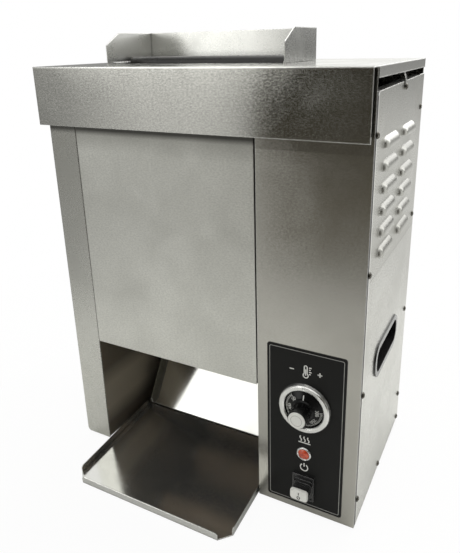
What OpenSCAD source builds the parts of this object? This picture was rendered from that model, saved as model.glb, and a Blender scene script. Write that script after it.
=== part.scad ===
// Vertical bun toaster with two conveyors, one heated platen between them, a drop-in
// feeder on top, a polished chute and a catch tray. Sheet steel casing, controls at the right.
// Millimetres, +Z up, front face towards -Y. The origin is the centre of the footprint.

/* [Casing] */
// Width over both side panels
body_w = 450; // [430:5:480]
// Depth from the front face to the rear panel
body_d = 256; // [250:2:290]
// Height from the underside of the casing to the top cover
body_h = 580; // [560:5:620]
// Thickness of the folded steel sheet
sheet = 1.2; // [1:0.1:1.5]
// Width of the left post, over its outer panel and its inner wall
post_w = 45; // [40:1:50]
// Width of the control box at the right
control_w = 136; // [130:1:150]
// Radius of the left panel's lower fold
foot_fold_r = 6; // [4:0.5:12]
// Width of the flanges inside the casing
flange_w = 12; // [10:1:14]
// Width of the side panels' screw flanges
screw_flange_w = 20; // [16:1:24]
// Black seam between the control front and the side panel
seam = 1; // [0.5:0.1:1.5]
// Return of the control front round its right corner
corner_return = 5; // [3:0.5:6]

/* [Feet] */
// Clear height under the casing
foot_h = 6; // [4:0.5:10]
// Diameter of a rubber foot
foot_d = 24; // [18:1:28]
// Distance of a foot's centre from the casing's outer faces
foot_inset = 28; // [26:1:29]

/* [Top cover] */
// Height of the band at the front of the top cover
band_h = 75; // [60:1:85]
// Distance that the band stands ahead of the front face
band_out = 17; // [12:1:22]
// Height of the cover's side and rear flanges
lid_flange_h = 12; // [10:1:16]
// Distance from the front face to where the side flanges begin
lid_flange_start = 6; // [4:1:12]
// Height of the folded hem at the band's lower edge
hem_h = 7; // [5:1:10]
// Drop of the side panel's top edge below the top cover, at the front
panel_drop_front = 25; // [20:1:32]
// Drop of the side panel's top edge below the top cover, at the rear
panel_drop_rear = 20; // [17:1:28]

/* [Cooking section] */
// Distance from the front face to the middle of the platen
platen_y = 135; // [132:1:142]
// Thickness of one platen plate
plate_t = 8; // [7:0.5:8.5]
// Distance from the platen plates' side edges to the inner walls
plate_side = 17.1; // [15:0.1:24]
// Height of the platen's lower edge above the table
platen_z = 244; // [236:1:260]
// Height of the platen's upper edge below the top cover
platen_drop = 14; // [10:1:20]
// Height that the platen cap stands above the top cover
cap_rise = 8.5; // [6:0.5:14]
// Length of the platen cap's straight sides
cap_skirt = 42; // [30:1:60]
// Width of each bun lane, from plate to belt
lane = 30; // [26:1:32]
// Diameter of the heating element's tube
element_d = 8; // [6:0.5:8.5]
// Gap between the heating element and each platen plate
element_gap = 1; // [0.5:0.25:2]
// Number of straight runs of the heating element
element_runs = 6; // [4:2:8]

/* [Conveyors] */
// Height of the drive shafts above the table
drive_z = 228; // [222:1:240]
// Drop of the top rollers' shafts below the top cover
idler_drop = 42; // [38:1:50]
// Outer radius of a roller
roller_r = 16; // [14:0.5:17]
// Wall of a roller tube
roller_wall = 2; // [1.5:0.25:3]
// Distance from a belt's edges to the inner walls
belt_side = 24.1; // [22:0.1:34]
// Thickness of a belt
belt_t = 2; // [1.5:0.25:3]
// Height of a belt's ribs
rib_h = 1.5; // [1:0.25:2]
// Distance from one belt rib to the next, about
rib_pitch = 12; // [9:1:18]
// Diameter of the conveyor shafts
shaft_d = 10; // [8:0.5:12]

/* [Drive] */
// Gear module
gear_module = 1.5; // [1.4:0.05:1.6]
// Number of teeth on each gear
gear_teeth = 32; // [32:2:36]
// Width of the gear rims
gear_w = 8; // [6:0.5:10]
// Width of the square gearbox
gearbox_w = 60; // [52:1:66]
// Depth of the gearbox along its shaft
gearbox_d = 26; // [20:1:32]
// Diameter of the motor
motor_d = 52; // [44:1:56]
// Length of the motor behind its gearbox
motor_l = 44; // [36:1:50]
// Diameter of the motor shaft
motor_shaft_d = 8; // [6:0.5:9]

/* [Outlet] */
// Height of the front cover's lower edge above the casing's underside
mouth_h = 178; // [165:1:190]
// Black gap between the front cover and the control box
cover_gap = 2; // [1:0.1:2.5]
// Distance that the front cover lifts to come off its rail
cover_lift = 16; // [12:1:18]
// Slope of the chute
chute_angle = 56.8; // [55:0.2:58]
// Distance from the chute's sides to the inner walls
chute_side = 15.1; // [12:0.1:24]
// Distance from the front face to the chute's lower edge
chute_y = 99; // [96:1:104]
// Height of the chute's side flanges
chute_flange = 12; // [8:1:16]

/* [Tray] */
// Distance that the tray stands ahead of the front face
tray_out = 90; // [70:1:110]
// Length of the tray
tray_l = 187; // [180:1:190]
// Clearance at each side of the tray
tray_gap = 2; // [1:0.5:4]
// Distance of the tray from the left inner wall
tray_left = 9; // [4:1:14]
// Height of the tray's lips
lip_h = 11; // [8:1:14]
// Corner cut of the tray
tray_cut = 15; // [8:1:20]
// Forward slope of the tray
tray_slope = 3.2; // [2.9:0.1:3.6]

/* [Feeder] */
// Height of the feeder's plates
feeder_h = 42; // [34:1:50]
// Depth of the feeder's side plates
feeder_d = 108; // [102:1:114]
// Depth of the cut at the front corner of a side plate
feeder_cut_y = 30; // [20:1:40]
// Height of that cut
feeder_cut_z = 17; // [10:1:22]
// Distance that the side plates stand outside the cooking section
feeder_over = 2.5; // [1:0.5:4]

/* [Louvres] */
// Louvres in one column
louvre_rows = 6; // [3:1:7]
// Distance from one louvre to the next
louvre_pitch = 25.7; // [24:0.1:30]
// Distance from the top cover down to the highest louvres
louvre_drop = 85.5; // [80:0.5:100]
// Distance from the front face to the middle of the first column
louvre_y = 72; // [70:1:76]
// Distance between the columns
louvre_gap = 94; // [88:1:98]
// Length of one louvre
louvre_l = 66; // [56:1:74]
// Radius of the hood's section
louvre_r = 11; // [9:0.5:12]
// Height that a hood stands out of the panel
louvre_rise = 6; // [4:0.5:7]

/* [Handles] */
// Length of a handle's rim
handle_l = 124; // [116:1:134]
// Height of a handle's rim
handle_h = 48; // [44:1:54]
// Depth of a handle's cup
handle_depth = 24; // [18:1:28]
// Distance from the front face to the middle of a handle
handle_y = 122; // [116:1:128]
// Height of a handle's middle above the casing's underside
handle_z = 208; // [198:1:216]

/* [Controls] */
// Width of the black control plate
plate_label_w = 104.5; // [92:0.5:110]
// Height of the black control plate
plate_label_h = 237; // [222:1:245]
// Height of its lower edge above the casing's underside
plate_label_z = 9.5; // [8:0.5:20]
// Distance of the control axis from the control box's left face
control_x = 66.5; // [64:0.5:72]
// Height of the dial above the casing's underside
dial_z = 165; // [160:1:172]
// Outer diameter of the dial ring
dial_d = 70; // [62:1:74]
// Width of the dial ring, seen from the front
dial_rim = 8.5; // [6:0.5:10]
// Height that the ring stands out
dial_out = 7; // [5:0.5:9]
// Reach of the knob from the front face
knob_out = 31; // [26:1:36]
// Diameter of the knob's grip
grip_d = 25; // [22:1:28]
// Turning range of the knob in degrees, on the dial
knob_turn = 300; // [240:10:320]
// Height of the lamp above the casing's underside
lamp_z = 94; // [90:1:98]
// Outer diameter of the lamp's ring
lamp_d = 20; // [16:1:22]
// Height of the switch above the casing's underside
switch_z = 41; // [38:1:48]
// Width of the switch frame
switch_w = 30; // [28:1:34]
// Height of the switch frame
switch_h = 38; // [36:1:42]
// Reach of the switch button from the front face
button_out = 20; // [15:1:24]
// Travel of the switch button
button_travel = 3; // [2:0.5:4]

/* [Fasteners] */
// Diameter of the casing screws' shanks
screw_d = 4; // [3:0.5:5]
// Diameter of the casing screws' heads
screw_head_d = 8; // [7:0.5:9]
// Height of the casing screws' heads
screw_head_h = 2.6; // [2:0.2:3.2]

/* [Cable gland] */
// Bore of the gland for a mains lead
gland_bore = 9; // [7:0.5:11]
// Reach of the gland behind the rear panel
gland_out = 20; // [16:1:26]

/* [Hidden] */

// Clearances that every fit below is worked out from
run_gap = 0.05;      // radial running fit of a shaft in its bush
press_gap = 0.02;    // radial gap of a part pressed on its shaft
hole_gap = 0.2;      // radial gap of a screw in a clearance hole
seat_gap = 0.3;      // gap between parts of different bodies that lie on each other
round_fn = 48;

// Heights
under_z = foot_h;                       // underside of the casing's lower folds
base_z = under_z + sheet;               // underside of the base plate
base_top = base_z + sheet;
lid_top = under_z + body_h;
lid_under = lid_top - sheet;
mouth_z = under_z + mouth_h;
band_z = lid_top - band_h;
idler_z = lid_top - idler_drop;

// Cooking section, from the left inner wall to the control box
cook_x0 = post_w;
control_x0 = body_w - control_w;
cook_x1 = control_x0 + sheet;
cook_mid = (cook_x0 + cook_x1) / 2;
plate_w = cook_x1 - cook_x0 - 2 * plate_side;
belt_w = cook_x1 - cook_x0 - 2 * belt_side;
chute_w = cook_x1 - cook_x0 - 2 * chute_side;
cover_x0 = cook_x0 + 0.5;
cover_x1 = control_x0 - cover_gap;

// Platen: two plates with the element between them; the bars that carry it are as thick as that space
mount_t = element_d + 2 * element_gap;
platen_t = 2 * plate_t + mount_t;

// Conveyors and lanes, front and rear of the platen
belt_out = roller_r + seat_gap + belt_t + rib_h;   // from a shaft's axis to the rib tips
shaft_reach = platen_t / 2 + lane + belt_out;
front_y = platen_y - shaft_reach;
rear_y = platen_y + shaft_reach;
shaft_x0 = cook_x0 - sheet - 6;
roller_l = belt_w + 6;
bush_flange_t = 2;
bush_wall = 2;
bush_r = shaft_d / 2 + run_gap + bush_wall;
bush_l = sheet + 5;

// Gear train in the control box: drive gear, idler, motor gear, drive gear
pitch_r = gear_module * gear_teeth / 2;
gear_tip_r = pitch_r + gear_module;
gear_x = cook_x1 + bush_l + 1;
idler_y = front_y + (rear_y - front_y - 2 * pitch_r) / 2;
motor_y = idler_y + 2 * pitch_r;
train_drop = sqrt(pow(2 * pitch_r, 2) - pow(idler_y - front_y, 2));
train_z = drive_z - train_drop;
bracket_x = gear_x + gear_w + 6;

// Slot in the top cover
slot_edge = 3;
slot_y0 = platen_y - platen_t / 2 - lane - 4;
slot_y1 = platen_y + platen_t / 2 + lane + 4;
slot_x0 = cook_x0 + slot_edge;
slot_x1 = control_x0 - slot_edge;

// Screw places on the side panels
function screw_column(low, high) = [for (i = [0 : 3]) under_z + low + i * (body_h - high - low) / 3];
side_screw_z = screw_column(39.5, 69.5);
rear_screw_z = screw_column(52, 64);
front_screw_y = corner_return + seam + 4.5;
rear_screw_y = body_d - sheet - 11;
low_screw_z = under_z + 7.5;
low_screw_y = [handle_y, rear_screw_y];
panel_y0 = corner_return + seam;

// Controls
axis_x = control_x0 + control_x;
label_t = 0.8;
ring_r = dial_d / 2;
ring_in_r = ring_r - dial_rim;
skirt_gap = 1;
stem_r = 3;
switch_body_w = switch_w - 4;
switch_body_h = switch_h - 4;
button_w = 24;
button_h = 16;
button_r = 4;

// Footprint: the tray's lip in front, the gland behind, screw heads left, hoods right
mid_x = (-screw_head_h + body_w + max(louvre_rise, screw_head_h)) / 2;
mid_y = (-tray_out - lip_h * sin(tray_slope) + body_d + gland_out) / 2;

// Moves the casing's corner so that the origin is the centre of the footprint
module in_place() { translate([-mid_x, -mid_y, 0]) children(); }

// A box from one corner to the other
module block(low, high) { translate(low) cube(high - low); }

// An outline in X and Z, from depth y backwards
module front_sheet(y, t) { translate([0, y + t, 0]) rotate([90, 0, 0]) linear_extrude(t) children(); }

// An outline in Y and Z, from x to the right
module side_sheet(x, t) { translate([x, 0, 0]) rotate([90, 0, 90]) linear_extrude(t) children(); }

// A rod along X, Y or Z
module x_rod(x, l, y, z, r) { translate([x, y, z]) rotate([0, 90, 0]) cylinder(h = l, r = r, $fn = round_fn); }
module y_rod(x, y, l, z, r) { translate([x, y, z]) rotate([-90, 0, 0]) cylinder(h = l, r = r, $fn = round_fn); }
module z_rod(x, y, z, l, r) { translate([x, y, z]) cylinder(h = l, r = r, $fn = round_fn); }

// A centred rectangle with round corners
module round_rect(w, h, r) {
    square([w - 2 * r, h], center = true);
    square([w, h - 2 * r], center = true);
    for (x = [-1, 1], y = [-1, 1])
        translate([x * (w / 2 - r), y * (h / 2 - r)]) circle(r, $fn = round_fn);
}

// A pan-head screw whose head stands on z = 0 and whose shank points down
module pan_screw(shank_l) {
    dome_r = (pow(screw_head_d / 2, 2) + pow(screw_head_h, 2)) / (2 * screw_head_h) * 1.12;
    difference() {
        union() {
            intersection() {
                cylinder(h = screw_head_h, d = screw_head_d, $fn = round_fn);
                translate([0, 0, screw_head_h - dome_r]) sphere(dome_r, $fn = round_fn);
            }
            translate([0, 0, -shank_l]) cylinder(h = shank_l + 0.5, d = screw_d, $fn = round_fn);
        }
        for (a = [0, 90]) rotate(a) translate([-2.4, -0.5, screw_head_h - 1.1]) cube([4.8, 1, 2]);
    }
}

// Clearance hole or pilot hole for a casing screw
module screw_bore(l) { translate([0, 0, -l / 2]) cylinder(h = l, r = screw_d / 2 + hole_gap, $fn = round_fn); }

// Puts its children on each place of the right side panel's screws, pointing out
module at_right_screws() {
    for (z = side_screw_z) translate([body_w, front_screw_y, z]) rotate([0, 90, 0]) children();
    for (z = rear_screw_z) translate([body_w, rear_screw_y, z]) rotate([0, 90, 0]) children();
    for (y = low_screw_y) translate([body_w, y, low_screw_z]) rotate([0, 90, 0]) children();
}

// The same for the left side panel, which has no screws at its folded front edge
module at_left_screws() {
    for (z = rear_screw_z) translate([0, rear_screw_y, z]) rotate([0, -90, 0]) children();
}

// The rear panel's screws hold it to the rear flanges of the inner walls
module at_rear_screws() {
    for (z = side_screw_z, x = [cook_x0 - flange_w / 2, cook_x1 + flange_w / 2])
        translate([x, body_d, z]) rotate([-90, 0, 0]) children();
}

// The strap's screw goes through the strap and the right side panel
strap_y = 133;
strap_z = lid_top - 29;
strap_w = 7;
module at_strap_screw() { translate([body_w + sheet, strap_y, strap_z]) rotate([0, 90, 0]) children(); }

// ---------------------------------------------------------------- casing

// The base plate is open in front of the chute, where the tray lies
tray_rest_y = -tray_out + base_top / tan(tray_slope);
base_flange_h = 20;

module base_plate() {
    color("silver") in_place() difference() {
        union() {
            block([foot_fold_r, sheet, base_z], [body_w - 2 * sheet, body_d - sheet, base_top]);
            // upright flange inside the right side panel
            block([body_w - 2 * sheet, 2 * flange_w, base_z],
                  [body_w - sheet, body_d - screw_flange_w - 2 * sheet, base_z + base_flange_h]);
        }
        block([cook_x0, -1, base_z - 1], [control_x0, tray_rest_y, base_top + 1]);
        at_right_screws() screw_bore(8);
        for (p = foot_places()) z_rod(p[0], p[1], base_z - 1, 2 * sheet + 2, foot_screw_d / 2 + hole_gap);
        // cooling slots under the control box
        for (i = [0 : 5])
            translate([axis_x - 35 + i * 14, body_d / 2, base_z - 1]) linear_extrude(3 * sheet)
                round_rect(5, 60, 2.4);
    }
}

foot_screw_d = 4;
foot_recess_r = 6;
foot_recess_h = 3.4;
function foot_places() = [
    for (x = [foot_inset, body_w - foot_inset], y = [foot_inset, body_d - foot_inset]) [x, y]
];

module rubber_feet() {
    color("dimgray") in_place() for (p = foot_places()) translate([p[0], p[1], 0]) difference() {
        rotate_extrude($fn = round_fn) polygon([
            [0, 0], [foot_d / 2 - 2, 0], [foot_d / 2 - 1, 1], [foot_d / 2, base_z], [0, base_z]]);
        translate([0, 0, -1]) cylinder(h = base_z + 2, r = foot_screw_d / 2 + hole_gap, $fn = round_fn);
        translate([0, 0, -1]) cylinder(h = foot_recess_h + 1, r = foot_recess_r, $fn = round_fn);
    }
}

module foot_screws() {
    color("silver") in_place() for (p = foot_places()) translate([p[0], p[1], foot_recess_h]) difference() {
        union() {
            translate([0, 0, -2]) cylinder(h = 2, r = foot_recess_r - 1.5, $fn = round_fn);
            cylinder(h = base_top - foot_recess_h + 2, d = foot_screw_d, $fn = round_fn);
        }
        translate([-3, -0.6, -3]) cube([6, 1.2, 2]);
    }
}

// Outline of a side panel's flank: the top edge drops towards the front
module flank(y0, z0) {
    polygon([
        [y0, z0], [body_d, z0], [body_d, lid_top - panel_drop_rear],
        [y0 + 6, lid_top - panel_drop_front], [y0, lid_top - panel_drop_front - 6]]);
}
flank_rise = (panel_drop_front - panel_drop_rear) / (body_d - panel_y0 - 6);
function flank_top(y) = lid_top - panel_drop_front + (y - panel_y0 - 6) * flank_rise;

// One sheet makes the post's front, the left flank, and the fold under the post
module left_side_panel() {
    fold_top = under_z + foot_fold_r;
    color("lightgray") in_place() difference() {
        union() {
            // front of the post, with its rounded outer corner
            front_sheet(0, sheet) {
                translate([foot_fold_r, under_z]) square([post_w - foot_fold_r, lid_under - under_z]);
                translate([0, fold_top]) square([post_w, lid_under - fold_top]);
                translate([foot_fold_r, fold_top]) circle(foot_fold_r, $fn = round_fn);
            }
            side_sheet(0, sheet) flank(0, fold_top);
            // fold under the post
            difference() {
                y_rod(foot_fold_r, 0, body_d, fold_top, foot_fold_r);
                y_rod(foot_fold_r, -1, body_d + 2, fold_top, foot_fold_r - sheet);
                block([foot_fold_r, -1, under_z - 1], [3 * foot_fold_r, body_d + 1, fold_top + foot_fold_r]);
                block([-1, -1, fold_top], [3 * foot_fold_r, body_d + 1, fold_top + foot_fold_r]);
            }
            block([foot_fold_r, 0, under_z], [foot_fold_r + flange_w - 1, body_d, base_z]);
        }
        at_left_screws() screw_bore(8);
        for (p = foot_places()) z_rod(p[0], p[1], under_z - 1, sheet + 2, foot_d / 2 + seat_gap);
        handle_hole(-1);
    }
}

handle_flat = 6;                         // straight part of a handle's rounded ends
handle_r = (handle_h - handle_flat) / 2;
handle_wall = 2.2;
handle_rim_t = 2.2;
handle_land = 5;
module handle_outline(inset) { round_rect(handle_l - 2 * inset, handle_h - 2 * inset, handle_r - inset); }

// Opening for a handle's cup in a side panel; side is -1 at the left and 1 at the right
module handle_hole(side) {
    x = side < 0 ? -1 : body_w - sheet - 1;
    side_sheet(x, sheet + 2) translate([handle_y, under_z + handle_z])
        handle_outline(handle_land - seat_gap);
}

// Holes of the four conveyor shafts, and of the platen's screws, in an inner wall
mount_z = [platen_z + 30, lid_top - platen_drop - 30];
mount_h = 30;
mount_screw_dz = [-8, 8];
mount_overlap = 12;                     // how far a bar reaches in between the plates
mount_l = plate_side + mount_overlap;
module wall_holes(x) {
    for (y = [front_y, rear_y], z = [drive_z, idler_z]) x_rod(x - 1, sheet + 2, y, z, bush_r + press_gap);
    for (z = mount_z, dz = mount_screw_dz) x_rod(x - 1, sheet + 2, platen_y, z + dz, screw_d / 2 + hole_gap);
}

// Inner wall with flanges at its four edges; dir is -1 where they point left and 1 where right
module inner_wall(x, dir) {
    w = dir < 0 ? x + sheet - flange_w : x;
    block([x, sheet, base_top], [x + sheet, body_d - sheet, lid_under]);
    for (y = [sheet, body_d - 2 * sheet]) block([w, y, base_top], [w + flange_w, y + sheet, lid_under]);
    for (z = [base_top, lid_under - sheet]) block([w, sheet, z], [w + flange_w, body_d - sheet, z + sheet]);
}

module left_inner_wall() {
    color("gray") in_place() difference() {
        inner_wall(cook_x0 - sheet, -1);
        wall_holes(cook_x0 - sheet);
        at_rear_screws() screw_bore(8);
        // room for the ends of the foot screws
        for (p = foot_places()) z_rod(p[0], p[1], base_top - 1, sheet + 2, foot_screw_d / 2 + 1);
    }
}

// The inner wall of the control box also carries the element's bushes and the motor pillars
module control_inner_wall() {
    color("gray") in_place() difference() {
        inner_wall(cook_x1, 1);
        wall_holes(cook_x1);
        at_rear_screws() screw_bore(8);
        for (z = element_ends) x_rod(cook_x1 - 1, sheet + 2, platen_y, z, element_bush_r + press_gap);
        for (p = pillar_places) x_rod(cook_x1 - 1, sheet + 2, p[0], p[1], pillar_stud_r + hole_gap);
        x_rod(cook_x1 - 1, sheet + 2, idler_y, train_z, stud_r + press_gap);
    }
}

// Front of the control box: a pan with folded edges; its right edge turns round the corner
control_depth = 16;
module control_front_panel() {
    color("silver") in_place() difference() {
        union() {
            block([control_x0, 0, under_z], [body_w, sheet, lid_under]);
            block([control_x0, 0, base_top], [cook_x1, control_depth, lid_under]);
            block([body_w - sheet, 0, under_z], [body_w, corner_return, lid_top - panel_drop_front]);
            block([body_w - 2 * sheet, 0, base_top + seat_gap],
                  [body_w - sheet, control_depth, lid_top - panel_drop_front]);
            block([control_x0, 0, under_z], [body_w - sheet, control_depth, base_z]);
        }
        for (p = foot_places()) z_rod(p[0], p[1], under_z - 1, sheet + 2, foot_d / 2 + seat_gap);
        at_right_screws() screw_bore(8);
        y_rod(axis_x, -1, sheet + 2, under_z + dial_z, thermostat_neck_r + hole_gap);
        y_rod(axis_x, -1, sheet + 2, under_z + lamp_z, lamp_body_r + hole_gap);
        block([axis_x - switch_body_w / 2 - hole_gap, -1, under_z + switch_z - switch_body_h / 2 - hole_gap],
              [axis_x + switch_body_w / 2 + hole_gap, sheet + 1,
               under_z + switch_z + switch_body_h / 2 + hole_gap]);
    }
}

// One louvre at the origin: a capsule pressed out of the sheet at x = 0, open at its lower side
module louvre_capsule(r) {
    x = louvre_rise - louvre_r;
    half = louvre_l / 2 - louvre_r;
    translate([x, -half, 0]) rotate([-90, 0, 0]) cylinder(h = 2 * half, r = r, $fn = round_fn);
    for (y = [-half, half]) translate([x, y, 0]) sphere(r, $fn = round_fn);
}
louvre_lip = 3;
module louvre_hood() {
    intersection() {
        louvre_capsule(louvre_r);
        block([-sheet, -louvre_l, -louvre_lip], [2 * louvre_r, louvre_l, 2 * louvre_r]);
    }
}
module louvre_hollow() {
    intersection() {
        louvre_capsule(louvre_r - sheet);
        block([-2 * louvre_r, -louvre_l, -louvre_lip], [2 * louvre_r, louvre_l, 2 * louvre_r]);
    }
}
module at_louvres() {
    for (c = [0, 1], i = [0 : louvre_rows - 1])
        translate([body_w, louvre_y + c * louvre_gap, lid_top - louvre_drop - i * louvre_pitch]) children();
}

module right_side_panel() {
    top_fold_y0 = control_depth + 2;
    top_fold_y1 = body_d - sheet - screw_flange_w - 2;
    color("silver") in_place() difference() {
        union() {
            side_sheet(body_w - sheet, sheet) flank(panel_y0, under_z);
            // fold along the sloping top edge, between the screw flanges
            side_sheet(body_w - flange_w, flange_w) polygon([
                [top_fold_y0, flank_top(top_fold_y0) - sheet], [top_fold_y1, flank_top(top_fold_y1) - sheet],
                [top_fold_y1, flank_top(top_fold_y1)], [top_fold_y0, flank_top(top_fold_y0)]]);
            // fold at the bottom, under the base plate
            block([body_w - sheet - flange_w, control_depth + seat_gap, under_z],
                  [body_w - sheet, body_d - sheet, base_z]);
            at_louvres() louvre_hood();
        }
        at_louvres() louvre_hollow();
        at_right_screws() screw_bore(8);
        at_strap_screw() screw_bore(8);
        for (p = foot_places()) z_rod(p[0], p[1], under_z - 1, sheet + 2, foot_d / 2 + seat_gap);
        handle_hole(1);
    }
}

// Rear panel: a pan whose side flanges lie inside the side panels, with cooling slots
vent_l = 46;
vent_w = 5;
vent_pitch = 12;
vent_drop = 120;
vent_row_pitch = 70;
gland_x = body_w - 46;
gland_z = under_z + 46;
gland_thread_r = gland_bore / 2 + 3;
module rear_panel() {
    top = lid_top - panel_drop_rear;
    color("silver") in_place() difference() {
        union() {
            block([sheet, body_d - sheet, base_top], [body_w - sheet, body_d, lid_under]);
            for (x = [sheet, body_w - 2 * sheet])
                block([x, body_d - sheet - screw_flange_w, base_top], [x + sheet, body_d - sheet, top]);
        }
        at_right_screws() screw_bore(8);
        at_left_screws() screw_bore(8);
        at_rear_screws() screw_bore(8);
        y_rod(gland_x, body_d - sheet - 1, sheet + 2, gland_z, gland_thread_r + hole_gap);
        // the corner lies inside the left panel's fold
        difference() {
            block([0, body_d - 2 * screw_flange_w, under_z], [foot_fold_r, body_d + 1, under_z + foot_fold_r]);
            y_rod(foot_fold_r, body_d - 3 * screw_flange_w, 4 * screw_flange_w,
                  under_z + foot_fold_r, foot_fold_r - sheet - run_gap);
        }
        for (row = [0, 1], i = [0 : 6])
            front_sheet(body_d - sheet - 1, sheet + 2)
                translate([axis_x + (i - 3) * vent_pitch, lid_top - vent_drop - row * vent_row_pitch])
                    round_rect(vent_w, vent_l, vent_w / 2 - 0.01);
        for (i = [0 : 9])
            front_sheet(body_d - sheet - 1, sheet + 2)
                translate([cook_mid + (i - 4.5) * 1.5 * vent_pitch, lid_top - vent_drop])
                    round_rect(vent_w, vent_l, vent_w / 2 - 0.01);
    }
}

// Top cover: one folded sheet with a deep band in front and low flanges at sides and rear
lid_over_rear = 1.5;
module top_cover() {
    y1 = body_d + lid_over_rear;
    flange_z = lid_top - lid_flange_h;
    color("whitesmoke") in_place() difference() {
        union() {
            block([0, -band_out, lid_under], [body_w, y1, lid_top]);
            block([0, -band_out, band_z], [body_w, -band_out + sheet, lid_top]);
            // folded hem at the band's lower edge
            block([0, -band_out, band_z], [body_w, -band_out + 2 * sheet + 0.2, band_z + sheet]);
            block([0, -band_out + sheet + 0.2, band_z], [body_w, -band_out + 2 * sheet + 0.2, band_z + hem_h]);
            for (x = [0, body_w - sheet])
                block([x, lid_flange_start, flange_z], [x + sheet, y1, lid_top]);
            block([0, y1 - sheet, flange_z], [body_w, y1, lid_top]);
        }
        block([slot_x0, slot_y0, lid_under - 1], [slot_x1, slot_y1, lid_top + 1]);
        // the post's front sheet and left flank stand under the cover, clear of its side flange
        block([-1, -band_out + sheet + 0.01, flange_z - 1], [sheet + 0.01, lid_flange_start, lid_under]);
    }
}

// Small strap, joggled from the inside of the cover's right flange to the outside of the panel
module lid_strap() {
    bend_z0 = flank_top(strap_y) + 1.5;
    bend_z1 = lid_top - lid_flange_h - 1;
    color("silver") in_place() difference() {
        union() {
            front_sheet(strap_y - strap_w / 2, strap_w) polygon([
                [body_w, strap_z], [body_w + sheet, strap_z], [body_w + sheet, bend_z0],
                [body_w - sheet, bend_z1], [body_w - sheet, lid_under], [body_w - 2 * sheet, lid_under],
                [body_w - 2 * sheet, bend_z1 - 0.5], [body_w, bend_z0 - 0.5]]);
            x_rod(body_w, sheet, strap_y, strap_z, strap_w / 2);
        }
        at_strap_screw() screw_bore(8);
    }
}

module casing_screws() {
    shank = 6;
    color("gainsboro") in_place() {
        at_right_screws() pan_screw(shank);
        at_left_screws() pan_screw(shank);
        at_rear_screws() pan_screw(shank);
        at_strap_screw() pan_screw(shank);
    }
}

// ---------------------------------------------------------------- front cover and its rail

rail_y = 5;
rail_z = lid_top - 66;
rail_lip = 18;
rail_depth = 22;
module front_rail() {
    color("gray") in_place() {
        block([cook_x0, rail_y, rail_z], [control_x0, rail_y + rail_depth, rail_z + sheet]);
        block([cook_x0, rail_y, rail_z], [control_x0, rail_y + sheet, rail_z + rail_lip]);
    }
}

// The cover hangs on the rail by the hook folded at its top edge
hook_drop = 12;
hook_reach = rail_y + sheet + 2;
module front_cover() {
    top = rail_z + rail_lip + seat_gap + sheet;
    side_depth = rail_y - 1;
    color("silver") in_place() {
        block([cover_x0, 0, mouth_z], [cover_x1, sheet, top]);
        block([cover_x0, 0, top - sheet], [cover_x1, hook_reach + sheet, top]);
        block([cover_x0, hook_reach, top - hook_drop], [cover_x1, hook_reach + sheet, top]);
        for (x = [cover_x0, cover_x1 - sheet]) block([x, 0, mouth_z], [x + sheet, side_depth, top]);
        // hem at the lower edge
        block([cover_x0, 0, mouth_z], [cover_x1, 2 * sheet + 0.3, mouth_z + sheet]);
        block([cover_x0, sheet + 0.3, mouth_z], [cover_x1, 2 * sheet + 0.3, mouth_z + hem_h + 2]);
    }
}

// ---------------------------------------------------------------- feeder

feeder_x0 = cook_x0 - feeder_over;
feeder_x1 = control_x0 + feeder_over;
feeder_y0 = platen_y - feeder_d / 2;
feeder_y1 = platen_y + feeder_d / 2;
feeder_z = lid_top + seat_gap;
feeder_tab = 10;
module feeder_cheek() {
    polygon([
        [feeder_y0, feeder_z], [feeder_y1, feeder_z], [feeder_y1, lid_top + feeder_h],
        [feeder_y0 + feeder_cut_y, lid_top + feeder_h],
        [feeder_y0, lid_top + feeder_h - feeder_cut_z]]);
}

// A plate with two cheeks; flanges at its foot lie on the cover and tabs drop into the slot
module bun_feeder() {
    x0 = slot_x0 + seat_gap;
    x1 = slot_x1 - seat_gap;
    y0 = slot_y0 + 4;
    y1 = slot_y1 - seat_gap;
    foot_z = feeder_z + sheet;
    tab_z = lid_top - feeder_tab;
    color("lightgray") in_place() {
        for (x = [feeder_x0, feeder_x1 - sheet]) side_sheet(x, sheet) feeder_cheek();
        block([feeder_x0, feeder_y1 - sheet, feeder_z], [feeder_x1, feeder_y1, lid_top + feeder_h]);
        // left, right and rear flanges, each with its tab
        block([feeder_x0, y0, feeder_z], [x0 + sheet, y1, foot_z]);
        block([x1 - sheet, y0, feeder_z], [feeder_x1, y1, foot_z]);
        block([feeder_x0, y1 - sheet, feeder_z], [feeder_x1, feeder_y1, foot_z]);
        for (x = [x0, x1 - sheet]) block([x, y0, tab_z], [x + sheet, y1 - 4, foot_z]);
        block([x0 + 6, y1 - sheet, tab_z], [x1 - 6, y1, foot_z]);
    }
}

// ---------------------------------------------------------------- platen

plate_x0 = cook_mid - plate_w / 2;
plate_x1 = cook_mid + plate_w / 2;
platen_top = lid_top - platen_drop;
platen_front = platen_y - platen_t / 2;
platen_rear = platen_y + platen_t / 2;

module platen_plate(y) {
    difference() {
        block([plate_x0, y, platen_z], [plate_x1, y + plate_t, platen_top]);
        // the lower edge is bevelled on both sides, so that buns leave it cleanly
        for (s = [y, y + plate_t]) translate([plate_x0 - 1, s, platen_z]) rotate([45, 0, 0])
            cube([plate_w + 2, 1.4, 1.4], center = false);
    }
}
module front_platen_plate() { color("darkgray") in_place() platen_plate(platen_front); }
module rear_platen_plate() { color("darkgray") in_place() platen_plate(platen_rear - plate_t); }

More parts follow.
